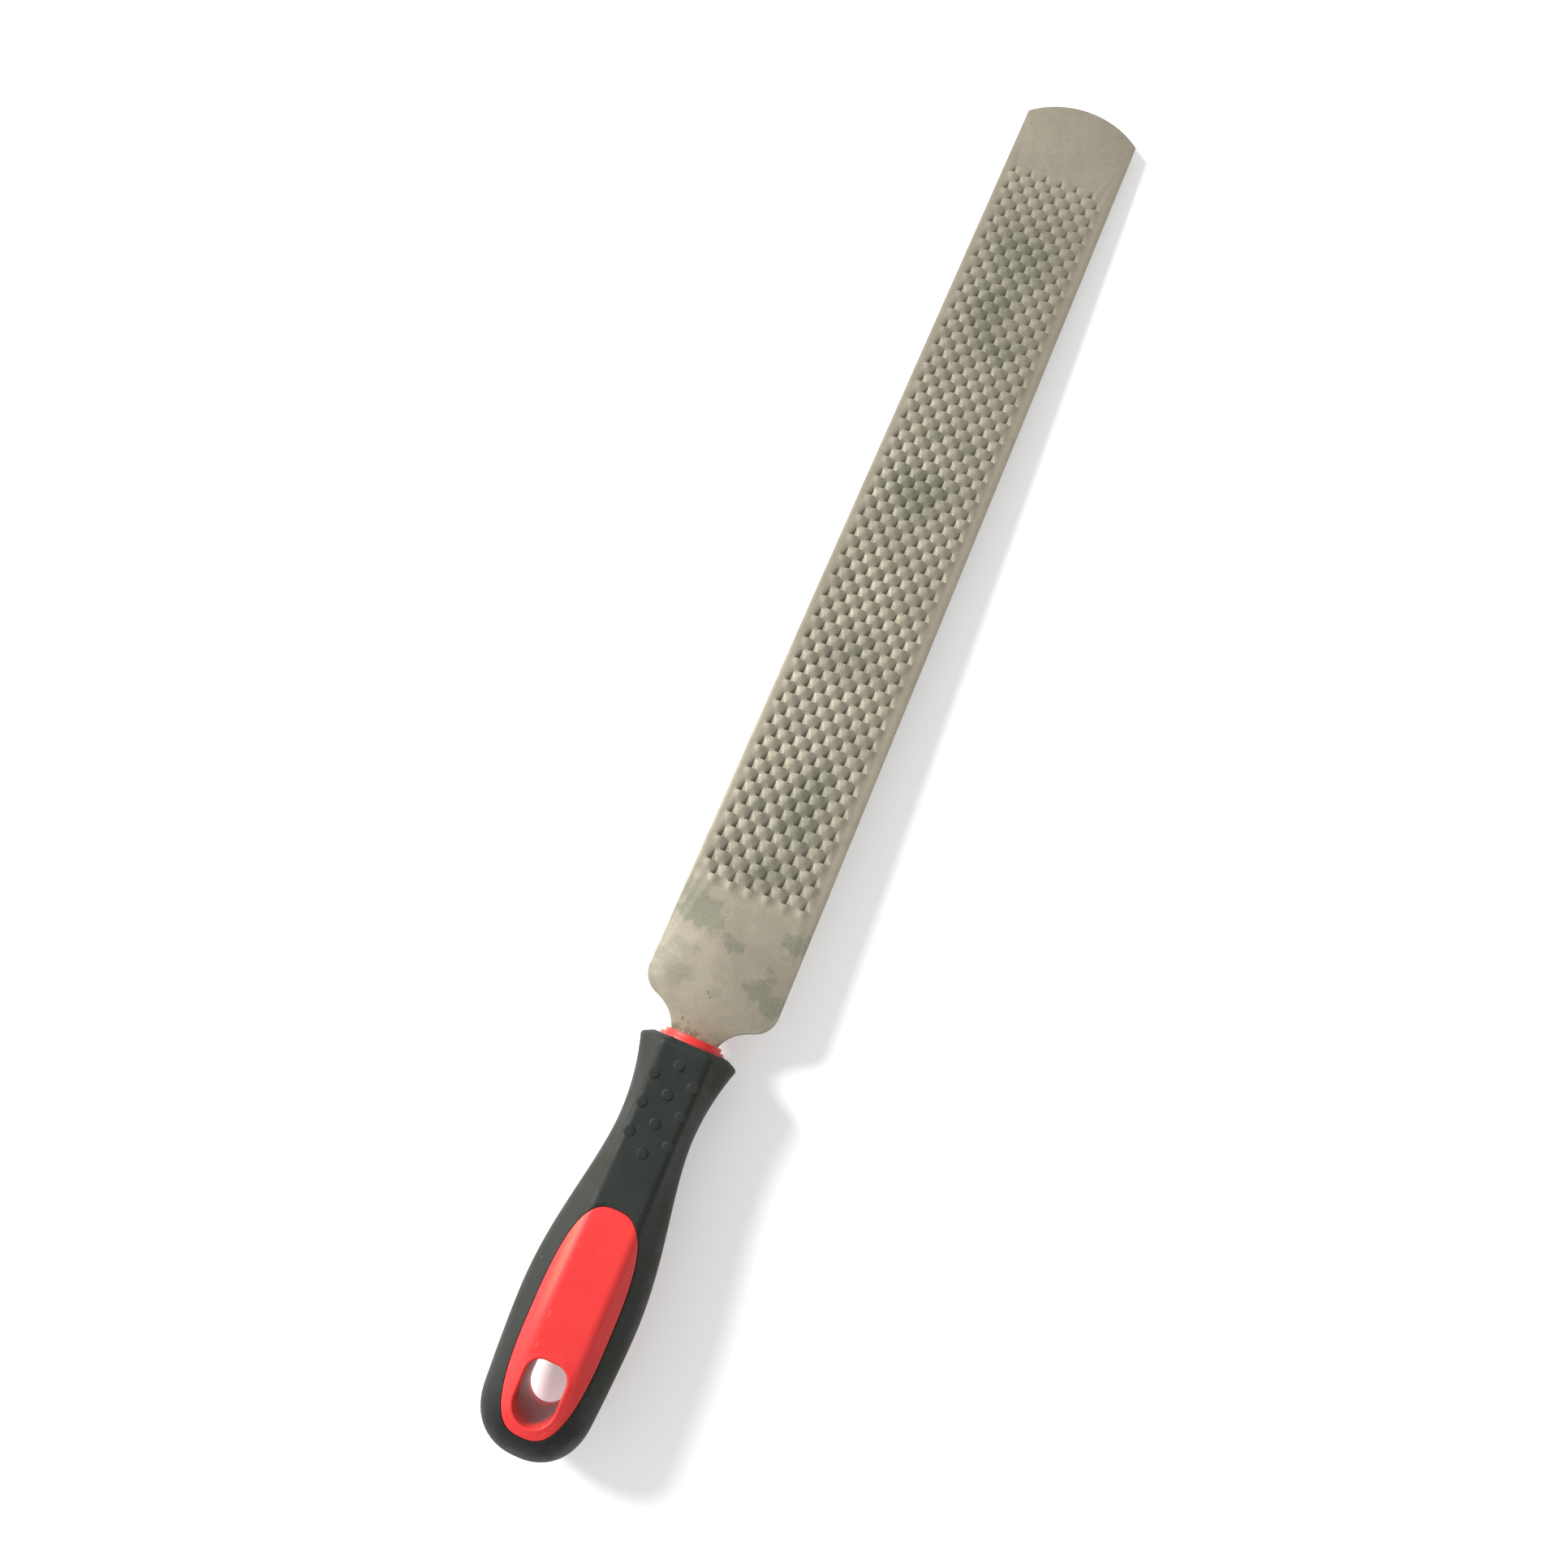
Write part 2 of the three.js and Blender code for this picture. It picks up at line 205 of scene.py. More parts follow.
# %% Sizes of the blade, in mm
BLADE_WIDTH = 42
BLADE_THICKNESS = 4.8
TIP_RADIUS = 31
SHOULDER_RADIUS = 7.7
NECK_WIDTH = 14.8
TANG_END_WIDTH = 6
FLANK_SLOPE = 0.29
NECK_PULL = (0.5, 0.19)
FLANK_PULL = (0.76, 0.45)
EDGE_BREAK = 0.25
TIP_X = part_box("rasp_blade")[1].x / MM
TANG_END_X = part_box("rasp_blade")[0].x / MM
COLLAR_FACE_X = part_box("handle_core")[1].x / MM
MID_Z = BLADE_THICKNESS / 2


# %% The blade's outline
def arc(centre, radius, from_angle, to_angle, steps):
    return [(centre[0] + radius * math.cos(angle), centre[1] + radius * math.sin(angle))
            for angle in np.linspace(from_angle, to_angle, steps)]


def bezier(a, b, c, d, steps):
    return [tuple((1 - t) ** 3 * a[i] + 3 * t * (1 - t) ** 2 * b[i] + 3 * t * t * (1 - t) * c[i]
                  + t ** 3 * d[i] for i in (0, 1))
            for t in np.linspace(0, 1, steps)]


def half_outline():
    """The +Y side of the blade, from the crown of the tip back to the end of the tang."""
    half = BLADE_WIDTH / 2
    tip_angle = math.asin(half / TIP_RADIUS)
    flank_angle = math.pi - math.asin(FLANK_SLOPE)
    shoulder = (SHOULDER_RADIUS, half - SHOULDER_RADIUS)
    flank = (shoulder[0] + SHOULDER_RADIUS * math.cos(flank_angle),
             shoulder[1] + SHOULDER_RADIUS * math.sin(flank_angle))
    neck = (COLLAR_FACE_X, NECK_WIDTH / 2)
    run, rise = flank[0] - neck[0], flank[1] - neck[1]
    near_neck = (neck[0] + NECK_PULL[0] * run, neck[1] + NECK_PULL[1] * rise)
    near_flank = (neck[0] + FLANK_PULL[0] * run, neck[1] + FLANK_PULL[1] * rise)
    tip = arc((TIP_X - TIP_RADIUS, 0), TIP_RADIUS, 0, tip_angle, 25)
    corner = arc(shoulder, SHOULDER_RADIUS, math.pi / 2, flank_angle, 18)
    curve = bezier(flank, near_flank, near_neck, neck, 18)
    return [*tip, *corner, *curve[1:], (TANG_END_X, TANG_END_WIDTH / 2)]


def blade_outline():
    side = half_outline()
    return side + [(x, -y) for x, y in reversed(side[1:])]


# %% Extrude the bar and break its edges
def bar():
    outline = blade_outline()
    rings = [[(x, y, z) for x, y in outline] for z in (0, BLADE_THICKNESS)]
    blade = ring_body("blade_steel", rings)
    bpy.ops.object.mode_set(mode="EDIT")
    mesh = bmesh.from_edit_mesh(blade.data)
    for edge in mesh.edges:
        level = abs(edge.verts[0].co.z - edge.verts[1].co.z) < 0.01 * MM
        edge.select_set(level)
    mesh.select_flush_mode()
    bmesh.update_edit_mesh(blade.data)
    bpy.ops.mesh.select_mode(type="EDGE")
    bpy.ops.mesh.bevel(offset=EDGE_BREAK * MM, segments=2, profile=0.5, affect="EDGES")
    bpy.ops.object.mode_set(mode="OBJECT")
    return blade


blade = bar()
print("bar", len(blade.data.vertices), "vertices")

# %% [markdown]
# ## One tooth
#
# A rasp's teeth are raised one at a time by a three-sided punch, driven in at a slant. It leaves a
# pointed pit towards the tip and throws the metal up behind it into a small mound with a straight
# cutting edge. Rows are staggered by half a tooth, so pit and mound together fill a rhombus, and
# the rhombi tile the face without gaps. The tooth is therefore modelled on a rhombus whose rim
# stays level with the face, and the rim is cut at the same third points on every side, so that
# neighbours share their vertices. Raised or sunk by its distance from the cutting edge, it needs
# only a few dozen faces.

# %% Sizes of the teeth, in mm
ROW_PITCH = 3.94
TOOTH_PITCH = 5.91
TEETH_PER_ROW = 6
HEEL_PLAIN = 39.7
FIELD_SHIFT = 0.5
ROWS = 72
CREST_HEIGHT = 0.62
PIT_DEPTH = 1.1
PIT_FOOT = 0.3
MOUND_POWER = 1.9
MOUND_LENGTH = 3.3
MOUND_HALF_WIDTH = 2.0
MOUND_FOOT = 0.08
RIDGE_HEIGHT = 0.13
RIDGE_POWER = 0.8
HALF_LONG = ROW_PITCH
HALF_WIDE = TOOTH_PITCH / 2
QUARTERS = (-3 / 4, -1 / 2, -1 / 4, 0, 1 / 4, 1 / 2, 3 / 4)
PIT_HALF_BASE = 1.9


# %% A rhombus cut along the lines of the tooth
def select_faces(obj, test):
    mesh = bmesh.from_edit_mesh(obj.data)
    for face in mesh.faces:
        centre = face.calc_center_median() / MM
        face.select_set(test(centre))
    bmesh.update_edit_mesh(obj.data)


def cut(point, normal):
    bpy.ops.mesh.bisect(plane_co=[c * MM for c in point], plane_no=normal)


def in_pit(p):
    return p.x > 0 and abs(p.y) < PIT_HALF_BASE * (1 - p.x / HALF_LONG)


def tooth_blank():
    bpy.ops.object.select_all(action="DESELECT")
    bpy.ops.mesh.primitive_circle_add(vertices=4, radius=MM, fill_type="NGON")
    tooth = bpy.context.object
    tooth.name = "tooth"
    bpy.ops.object.mode_set(mode="EDIT")
    bpy.ops.mesh.select_mode(type="FACE")
    bpy.ops.transform.resize(value=(HALF_LONG, HALF_WIDE, 1))
    for quarter in QUARTERS:
        bpy.ops.mesh.select_all(action="SELECT")
        cut((quarter * HALF_LONG, 0, 0), (1, 0, 0))
        bpy.ops.mesh.select_all(action="SELECT")
        cut((0, quarter * HALF_WIDE, 0), (0, 1, 0))
    for side in (-1, 1):
        select_faces(tooth, lambda p: p.x > 0 and p.y * side > 0)
        cut((HALF_LONG, 0, 0), (PIT_HALF_BASE, side * HALF_LONG, 0))
    select_faces(tooth, in_pit)
    cut((PIT_FOOT, 0, 0), (1, 0, 0))
    return tooth


# %% Raise the mound and sink the pit
def ridge_height(x, y):
    """Height of the low ridge between two teeth: none at the corners of the rhombus."""
    share = abs(y) / HALF_WIDE
    return RIDGE_HEIGHT * math.sin(math.pi * share) ** RIDGE_POWER if 0 < share < 1 else 0


def tooth_height(x, y):
    spread = abs(x) / HALF_LONG + abs(y) / HALF_WIDE
    if spread > 0.999:
        return ridge_height(x, y)
    if x < 0.01:
        reach = math.hypot(x / MOUND_LENGTH, y / MOUND_HALF_WIDTH)
        return max(MOUND_FOOT, CREST_HEIGHT * (1 - reach ** MOUND_POWER))
    pit_half = PIT_HALF_BASE * (1 - x / HALF_LONG)
    rim_half = HALF_WIDE * (1 - x / HALF_LONG)
    rim = ridge_height(x, rim_half)
    across = abs(y) / pit_half
    if across < 0.999:
        return rim - (PIT_DEPTH * (1 - x / HALF_LONG) + rim) * (1 - across)
    return rim


tooth = tooth_blank()
tooth_mesh = bmesh.from_edit_mesh(tooth.data)
for vertex in tooth_mesh.verts:
    vertex.co.z = tooth_height(vertex.co.x / MM, vertex.co.y / MM) * MM
bmesh.update_edit_mesh(tooth.data)
bpy.ops.object.mode_set(mode="OBJECT")
print("one tooth has", len(tooth.data.polygons), "faces")

# %% [markdown]
# ## The toothed face
#
# Three arrays lay the tooth out: one row, then the staggered row beside it, then the pairs of rows
# along the bar. Applied and merged, they are one sheet. No punch strikes twice alike, so each
# tooth's height and depth vary a little, and the teeth fade towards both ends and on one side, where
# the bar rocked under the punch. The sheet then takes the place of the bar's plain top face: that
# face is deleted, and the ground between the outline and the sheet's zigzag rim is filled.

# %% Lay the teeth out
def repeat(obj, count, offset):
    pick(obj)
    bpy.ops.object.modifier_add(type="ARRAY")
    array = obj.modifiers[-1]
    array.count = count
    array.use_relative_offset = False
    array.use_constant_offset = True
    array.constant_offset_displace = [c * MM for c in offset]
    bpy.ops.object.modifier_apply(modifier=array.name)


repeat(tooth, TEETH_PER_ROW, (0, TOOTH_PITCH, 0))
repeat(tooth, 2, (ROW_PITCH, HALF_WIDE, 0))
repeat(tooth, ROWS // 2, (2 * ROW_PITCH, 0, 0))
FIRST_TOOTH_Y = FIELD_SHIFT - (TEETH_PER_ROW - 0.5) * TOOTH_PITCH / 2
pick(tooth)
bpy.ops.object.mode_set(mode="EDIT")
bpy.ops.mesh.select_all(action="SELECT")
bpy.ops.transform.translate(value=(HEEL_PLAIN * MM, FIRST_TOOTH_Y * MM, BLADE_THICKNESS * MM))
bpy.ops.mesh.remove_doubles(threshold=0.01 * MM)
select_boundary()
bpy.ops.transform.resize(value=(1, 1, 0), center_override=(0, 0, BLADE_THICKNESS * MM))
bpy.ops.object.mode_set(mode="OBJECT")
bpy.ops.object.transform_apply(location=True, rotation=True, scale=True)
print("toothed sheet", len(tooth.data.polygons), "faces")


# %% Vary the teeth as a punch does
HEIGHT_SPREAD = (-0.16, 0.12)
DEPTH_SPREAD = (-0.18, 0.05)
SHIFT_SPREAD = (-0.2, 0.1)
TURN_SPREAD = (-0.07, 0.07)
EDGE_REACH = 1.4
FADE_TO_TIP = 0.2
FADE_TO_HEEL = 0.14
FADE_TO_SIDE = 0.1
FADE_WIDTH = 20


def fade(along, y):
    """How much of its height a tooth keeps, by its place along the field and to its side."""
    return (1 - FADE_TO_TIP * max(0, along) ** 2 - FADE_TO_HEEL * (1 - along) ** 2
            - FADE_TO_SIDE * max(0, -y) / FADE_WIDTH)


def vary_teeth(obj, seed):
    chance = random.Random(seed)
    strikes = {}
    for vertex in obj.data.vertices:
        rise = vertex.co.z / MM - BLADE_THICKNESS
        if abs(rise) < 0.001:
            continue
        x, y = vertex.co.x / MM - HEEL_PLAIN, vertex.co.y / MM - FIRST_TOOTH_Y
        row = min(range(-1, ROWS + 1), key=lambda r: tooth_reach(x, y, r))
        tooth_number = round((y - (row % 2) * HALF_WIDE) / TOOTH_PITCH)
        key = (row, tooth_number)
        if key not in strikes:
            strikes[key] = (1 + chance.uniform(*HEIGHT_SPREAD), 1 + chance.uniform(*DEPTH_SPREAD),
                            chance.uniform(*SHIFT_SPREAD), chance.uniform(*TURN_SPREAD))
        height, depth, shift, turn = strikes[key]
        along = (vertex.co.x / MM - HEEL_PLAIN) / ((ROWS - 1) * ROW_PITCH)
        keep = height if rise > 0 else depth
        vertex.co.z = (BLADE_THICKNESS + rise * keep * fade(along, vertex.co.y / MM)) * MM
        middle = (row % 2) * HALF_WIDE + tooth_number * TOOTH_PITCH
        near_edge = max(0, 1 - abs(x - row * ROW_PITCH) / EDGE_REACH)
        vertex.co.x += (shift + turn * (y - middle)) * near_edge * MM


def tooth_reach(x, y, row):
    """How far a point is from the nearest tooth of a row, measured as the rhombus is."""
    across = (y - (row % 2) * HALF_WIDE) / TOOTH_PITCH
    return abs(x - row * ROW_PITCH) / HALF_LONG + abs(across - round(across)) * 2


vary_teeth(tooth, seed=7)
rises = [vertex.co.z / MM - BLADE_THICKNESS for vertex in tooth.data.vertices]
print("teeth reach from", round(min(rises), 2), "to", round(max(rises), 2), "mm about the face")

# %% Let the toothed sheet into the bar
def join_sheet(body, sheet, on_face):
    """The sheet takes the place of the flat face, and the ground between their rims is filled."""
    pick(body)
    bpy.ops.object.mode_set(mode="EDIT")
    bpy.ops.mesh.select_mode(type="FACE")
    bpy.ops.mesh.select_all(action="DESELECT")
    select_faces(body, on_face)
    bpy.ops.mesh.delete(type="FACE")
    bpy.ops.object.mode_set(mode="OBJECT")
    sheet.select_set(True)
    bpy.ops.object.join()
    bpy.ops.object.mode_set(mode="EDIT")
    select_boundary()
    bpy.ops.mesh.fill(use_beauty=True)
    bpy.ops.mesh.select_all(action="SELECT")
    bpy.ops.mesh.normals_make_consistent(inside=False)
    bpy.ops.object.mode_set(mode="OBJECT")


join_sheet(blade, tooth, lambda p: p.z > BLADE_THICKNESS - 0.001)
print("toothed bar", len(blade.data.polygons), "faces")

# %% [markdown]
# ## The file side
#
# A farrier's rasp is a rasp on one face and a file on the other. File teeth are chiselled right
# across the face, one straight cut after another at a slant. One cut is a plane with a line bisected
# into it near its front and sunk into the steel, its two ends closed with triangles. An array lays
# the cuts along the back, each vertex is slid along for the slant, and the sheet is let into the
# back face as the toothed one was into the front.

# %% One file cut
CUT_PITCH = 1.25
CUT_DEPTH = 0.28
CUT_FRONT = 0.3
CUT_HALF_WIDTH = 19.4
CUT_END = 0.5
CUT_SLANT = math.tan(math.radians(22))
CUTS = 212
FIRST_CUT_X = HEEL_PLAIN + CUT_HALF_WIDTH * CUT_SLANT - 4


def file_cut():
    bpy.ops.object.select_all(action="DESELECT")
    bpy.ops.mesh.primitive_plane_add(size=MM)
    obj = bpy.context.object
    bpy.ops.object.mode_set(mode="EDIT")
    bpy.ops.transform.resize(value=(CUT_PITCH, 2 * CUT_HALF_WIDTH, 1))
    bpy.ops.transform.translate(value=(CUT_PITCH / 2 * MM, 0, 0))
    cut((CUT_FRONT, 0, 0), (1, 0, 0))
    bpy.ops.transform.translate(value=(0, 0, CUT_DEPTH * MM))
    bpy.ops.transform.resize(value=(1, 1 - CUT_END / CUT_HALF_WIDTH, 1), center_override=(0, 0, 0))
    for side in (-1, 1):
        mesh = bmesh.from_edit_mesh(obj.data)
        bpy.ops.mesh.select_mode(type="VERT")
        for vertex in mesh.verts:
            vertex.select_set(vertex.co.y * side > 0)
        mesh.select_flush_mode()
        bmesh.update_edit_mesh(obj.data)
        bpy.ops.mesh.edge_face_add()
    bpy.ops.object.mode_set(mode="OBJECT")
    return obj


file_face = file_cut()
print("one file cut has", len(file_face.data.polygons), "faces")
repeat(file_face, CUTS, (CUT_PITCH, 0, 0))
pick(file_face)
bpy.ops.object.mode_set(mode="EDIT")
bpy.ops.mesh.select_all(action="SELECT")
bpy.ops.mesh.remove_doubles(threshold=0.01 * MM)
bpy.ops.transform.translate(value=(FIRST_CUT_X * MM, 0, 0))
bpy.ops.object.mode_set(mode="OBJECT")
for vertex in file_face.data.vertices:
    vertex.co.x += vertex.co.y * CUT_SLANT

# %% Let the file side into the back
join_sheet(blade, file_face, lambda p: p.z < 0.001)
finish_piece(blade, "rasp_blade", crease_angle=27)

# %% [markdown]
# ## The form of the handle
#
# The handle is one form shared by two plastics: it flares at the front, narrows to a waist, swells
# to fill the palm and rounds off at the butt. Its cross-section is an eight-sided outline with
# blended corners. The girth along the length is a few simple curves, so each ring is worked out
# from them and drawn by `ring_body`. The same function, drawn in by the wall of the grip, gives the
# inside of the grip and the outside of the core.

# %% Sizes of the handle, in mm
BUTT_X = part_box("handle_grip")[0].x / MM
GRIP_FRONT_X = COLLAR_FACE_X - 2.3
LIP_ROUND = 2.4
LIP_DROP = 3.4
LIP_X = GRIP_FRONT_X - LIP_ROUND
WAIST_X = GRIP_FRONT_X - 25.4
SWELL_X = GRIP_FRONT_X - 77
BUTT_ROUND = 14
BUTT_ROUND_POWER = 2.4
BUTT_TAPER_POWER = 1.5
BUTT_TURNS = np.linspace(0.04, 0.95, 18)
SWELL_EASE = 0.88
HALF_WIDTH = {"lip": 15.2, "waist": 11.35, "swell": 17.45, "butt": 14.65}
HALF_THICKNESS = {"lip": 13.4, "waist": 11.0, "swell": 13.98, "butt": 12.6}
TOP_FACET = 15
LEAST_FACET_FALL = 2.5
INNER_FACET_SHARE = 0.4
SIDE_FLAT_SHARE = 0.32
RIDGE_BLEND = 1.6
SIDE_BLEND = 3.4
GRIP_WALL = 3
CLEARANCE = 0.3
MELT_FROM_X = SWELL_X
MELT_LENGTH = 32
MELT_MOST = 0.9
MELT_POWER = 2.3


# %% Girth and cross-section
def girth(x, half):
    if x >= WAIST_X:
        share = (x - WAIST_X) / (LIP_X - WAIST_X)
        return half["waist"] + (half["lip"] - half["waist"]) * share ** 2
    if x >= SWELL_X:
        share = ((WAIST_X - x) / (WAIST_X - SWELL_X)) ** SWELL_EASE
        return half["waist"] + (half["swell"] - half["waist"]) * (1 - math.cos(math.pi * share)) / 2
    share = (SWELL_X - x) / (SWELL_X - BUTT_X)
    return half["swell"] - (half["swell"] - half["butt"]) * share ** BUTT_TAPER_POWER


def butt_keep(x, inset):
    """How much of its full section the handle keeps as its butt rounds off."""
    into = (BUTT_X + BUTT_ROUND - x) / (BUTT_ROUND - inset)
    return max(0, 1 - max(0, into) ** BUTT_ROUND_POWER) ** (1 / BUTT_ROUND_POWER)


def section(half_width, half_thickness, inset, corner_steps=8, side_steps=4):
    facet = min(TOP_FACET / 2 - INNER_FACET_SHARE * inset, half_width - LEAST_FACET_FALL)
    upright = SIDE_FLAT_SHARE * half_thickness
    quarter = [((half_width, upright), SIDE_BLEND), ((facet, half_thickness), RIDGE_BLEND)]
    top = quarter + [((-y, z), blend) for (y, z), blend in reversed(quarter)]
    corners = top + [((-y, -z), blend) for (y, z), blend in top]
    ends = []
    for i, (at, blend) in enumerate(corners):
        reach = min(blend, 0.9 * upright)
        sides = [np.subtract(corners[j % len(corners)][0], at) for j in (i - 1, i + 1)]
        ends.append([np.array(at) + side * reach / np.linalg.norm(side) for side in sides])
    points = []
    for i, (at, blend) in enumerate(corners):
        into, out = ends[i]
        for t in np.linspace(0, 1, corner_steps):
            points.append(tuple((1 - t) ** 2 * into + 2 * t * (1 - t) * np.array(at) + t * t * out))
        following = ends[(i + 1) % len(corners)][0]
        for t in np.linspace(0, 1, side_steps + 2)[1:-1]:
            points.append(tuple(out + t * (following - out)))
    return points


def round_share(x):
    """How far the facets have melted into a rounded outline, from none to nearly all at the butt."""
    share = min(1, max(0, (MELT_FROM_X - x) / MELT_LENGTH))
    return MELT_MOST * share * share * (3 - 2 * share)


def handle_ring(x, inset, keep, **steps):
    width, thickness = girth(x, HALF_WIDTH) - inset, girth(x, HALF_THICKNESS) - inset
    ring = []
    for y, z in section(width, thickness, inset, **steps):
        power = (abs(y / width) ** MELT_POWER + abs(z / thickness) ** MELT_POWER) ** (1 / MELT_POWER)
        melt = keep * (1 + (1 / power - 1) * round_share(x))
        ring.append((x, y * melt, MID_Z + z * melt))
    return ring


# %% The form from its butt to its front
def handle_rings(inset, front_x, count, **steps):
    butt_end = BUTT_X + inset
    round_x = BUTT_X + BUTT_ROUND
    rings = []
    for turn in BUTT_TURNS:
        x = butt_end + (round_x - butt_end) * (1 - math.cos(turn * math.pi / 2))
        rings.append(handle_ring(x, inset, butt_keep(x, inset), **steps))
    for x in np.linspace(round_x, front_x, count):
        rings.append(handle_ring(x, inset, 1, **steps))
    return rings


# %% [markdown]
# ## The core
#
# The hard core shows in three places: a panel on each face of the handle, flush with the grip, with
# the hanging slot through both, and a stepped collar round the neck of the blade. The panel's top
# is drawn as rings too, from the slot outwards to the panel's rounded rim, and each point is lifted
# onto the handle's form, so that the form's facets run on over it without a step. Down the outside,
# across the other face and back up through the slot, the rings meet where they began.

# %% Sizes of the core, in mm
PANEL_LENGTH = 61
PANEL_WIDTH = 23.1
PANEL_BUTT_SETBACK = 7.6
PANEL_SQUARENESS = 2.8
HOLE_LENGTH = 16.7
HOLE_WIDTH = 11.7
HOLE_FRONT_RADIUS = 4.2
HOLE_REAR_X = BUTT_X + 10.6
HOLE_FRONT_X = HOLE_REAR_X + HOLE_LENGTH
COLLAR_RADIUS = NECK_WIDTH / 2 + 1.5
FLANGE_RADIUS = COLLAR_RADIUS + 1.2
COLLAR_ROOT_X = GRIP_FRONT_X - 2 * GRIP_WALL
FLANGE_FACE_X = GRIP_FRONT_X + 1.0
PANEL_POINTS = 224


# %% Outlines of the panel and of the slot
def panel_outline(room):
    half_long, half_wide = PANEL_LENGTH / 2 + room, PANEL_WIDTH / 2 + room
    centre_x = BUTT_X + PANEL_BUTT_SETBACK + PANEL_LENGTH / 2
    power = 2 / PANEL_SQUARENESS
    points = []
    for turn in np.linspace(0, 2 * math.pi, PANEL_POINTS, endpoint=False):
        along, across = math.cos(turn), math.sin(turn)
        points.append((centre_x + half_long * math.copysign(abs(along) ** power, along),
                       half_wide * math.copysign(abs(across) ** power, across)))
    return points


def slot_outline(room):
    half = HOLE_WIDTH / 2
    front_x = HOLE_FRONT_X - HOLE_FRONT_RADIUS
    front_y = half - HOLE_FRONT_RADIUS
    path = (arc((front_x, front_y), HOLE_FRONT_RADIUS + room, 0, math.pi / 2, 40)
            + arc((HOLE_REAR_X + half, 0), half + room, math.pi / 2, 3 * math.pi / 2, 80)
            + arc((front_x, -front_y), HOLE_FRONT_RADIUS + room, -math.pi / 2, 0, 40))
    centre_x = (HOLE_REAR_X + HOLE_FRONT_X) / 2
    dense = np.array([np.array(a) + (np.array(b) - a) * t for a, b in zip(path, path[1:] + path[:1])
                      for t in np.linspace(0, 1, 8, endpoint=False)])
    angles = np.arctan2(dense[:, 1], dense[:, 0] - centre_x) % (2 * math.pi)
    reach = np.hypot(dense[:, 0] - centre_x, dense[:, 1])
    order = np.argsort(angles)
    turns = np.linspace(0, 2 * math.pi, PANEL_POINTS, endpoint=False)
    radii = np.interp(turns, angles[order], reach[order], period=2 * math.pi)
    return [(centre_x + r * math.cos(turn), r * math.sin(turn)) for turn, r in zip(turns, radii)]


# %% Height of the handle's top over a point
section_cache = {}


def top_height(x, y):
    """Height of the form above its middle plane."""
    key = round(x, 1)
    if key not in section_cache:
        ring = handle_ring(key, 0, butt_keep(key, 0))
        top = sorted((py, pz - MID_Z) for _, py, pz in ring if pz >= MID_Z)
        section_cache[key] = tuple(np.array(top).T)
    ys, zs = section_cache[key]
    return float(np.interp(y, ys, zs))


def smooth_top_height(x, y):
    low = math.floor(x * 10) / 10
    share = (x - low) * 10
    return top_height(low, y) * (1 - share) + top_height(low + 0.1, y) * share


# %% Rings over the panel
PANEL_RIM = 0.3
RIM_STEPS = (0.3, 0.2, 0.12, 0.06, 0.02, 0)
SLOT_BEAD = ((0, -0.55), (0.06, -0.28), (0.2, -0.06), (0.42, 0.09), (0.7, 0.13), (1.0, 0.09),
             (1.35, 0.02), (1.7, 0))
SURFACE_RINGS = 46


def on_top(outline, lift):
    return [(x, y, MID_Z + smooth_top_height(x, y) + lift) for x, y in outline]


def rim_drop(inward, radius):
    return radius - math.sqrt(max(0, radius ** 2 - max(0, radius - inward) ** 2))


def panel_rings():
    level = [(x, y, MID_Z) for x, y in slot_outline(0)]
    rings = [on_top(slot_outline(room), lift) for room, lift in SLOT_BEAD]
    inner = slot_outline(SLOT_BEAD[-1][0])
    outer = panel_outline(-PANEL_RIM)
    for t in np.linspace(0, 1, SURFACE_RINGS + 2)[1:-1]:
        between = [(a[0] + (b[0] - a[0]) * t, a[1] + (b[1] - a[1]) * t) for a, b in zip(inner, outer)]
        rings.append(on_top(between, 0))
    for inward in RIM_STEPS:
        rings.append(on_top(panel_outline(-inward), -rim_drop(inward, PANEL_RIM)))
    wall = [(x, y, MID_Z) for x, y in panel_outline(0)]
    under = [[(x, y, 2 * MID_Z - z) for x, y, z in ring] for ring in reversed(rings)]
    return [level, *rings, wall, *under, level]


core = ring_body("core_plastic", panel_rings(), first="join", last="join")
print("panel block", len(core.data.polygons), "faces")

# %% The hidden body of the core, and the collar
def through_slot(outline, reach=30):
    return ring_body("cutter", [[(x, y, z) for x, y in outline] for z in (MID_Z - reach, MID_Z + reach)])


def turned(profile, points=96):
    """A body of revolution about the handle's axis, through (x, radius) pairs."""
    angles = np.linspace(0, 2 * math.pi, points, endpoint=False)
    rings = [[(x, radius * math.cos(a), MID_Z + radius * math.sin(a)) for a in angles]
             for x, radius in profile]
    return ring_body("turned", rings)


hidden = ring_body("hidden", handle_rings(GRIP_WALL + CLEARANCE, GRIP_FRONT_X - GRIP_WALL, 20,
                                          corner_steps=3, side_steps=2), first="point", last="face")
combine(hidden, through_slot(slot_outline(1)), "DIFFERENCE")
combine(core, hidden, "UNION")
flange_edge = [(FLANGE_FACE_X - 0.3, FLANGE_RADIUS), (FLANGE_FACE_X - 0.09, FLANGE_RADIUS - 0.09),
               (FLANGE_FACE_X, FLANGE_RADIUS - 0.3)]
collar_fillet = [(FLANGE_FACE_X, COLLAR_RADIUS + 0.15), (FLANGE_FACE_X + 0.05, COLLAR_RADIUS + 0.04),
                 (FLANGE_FACE_X + 0.15, COLLAR_RADIUS)]
collar_edge = [(COLLAR_FACE_X - 0.35, COLLAR_RADIUS), (COLLAR_FACE_X - 0.1, COLLAR_RADIUS - 0.1),
               (COLLAR_FACE_X, COLLAR_RADIUS - 0.35)]
collar = turned([(COLLAR_ROOT_X, FLANGE_RADIUS), *flange_edge, *collar_fillet, *collar_edge])
combine(core, collar, "UNION")
print("core with its collar", len(core.data.polygons), "faces")


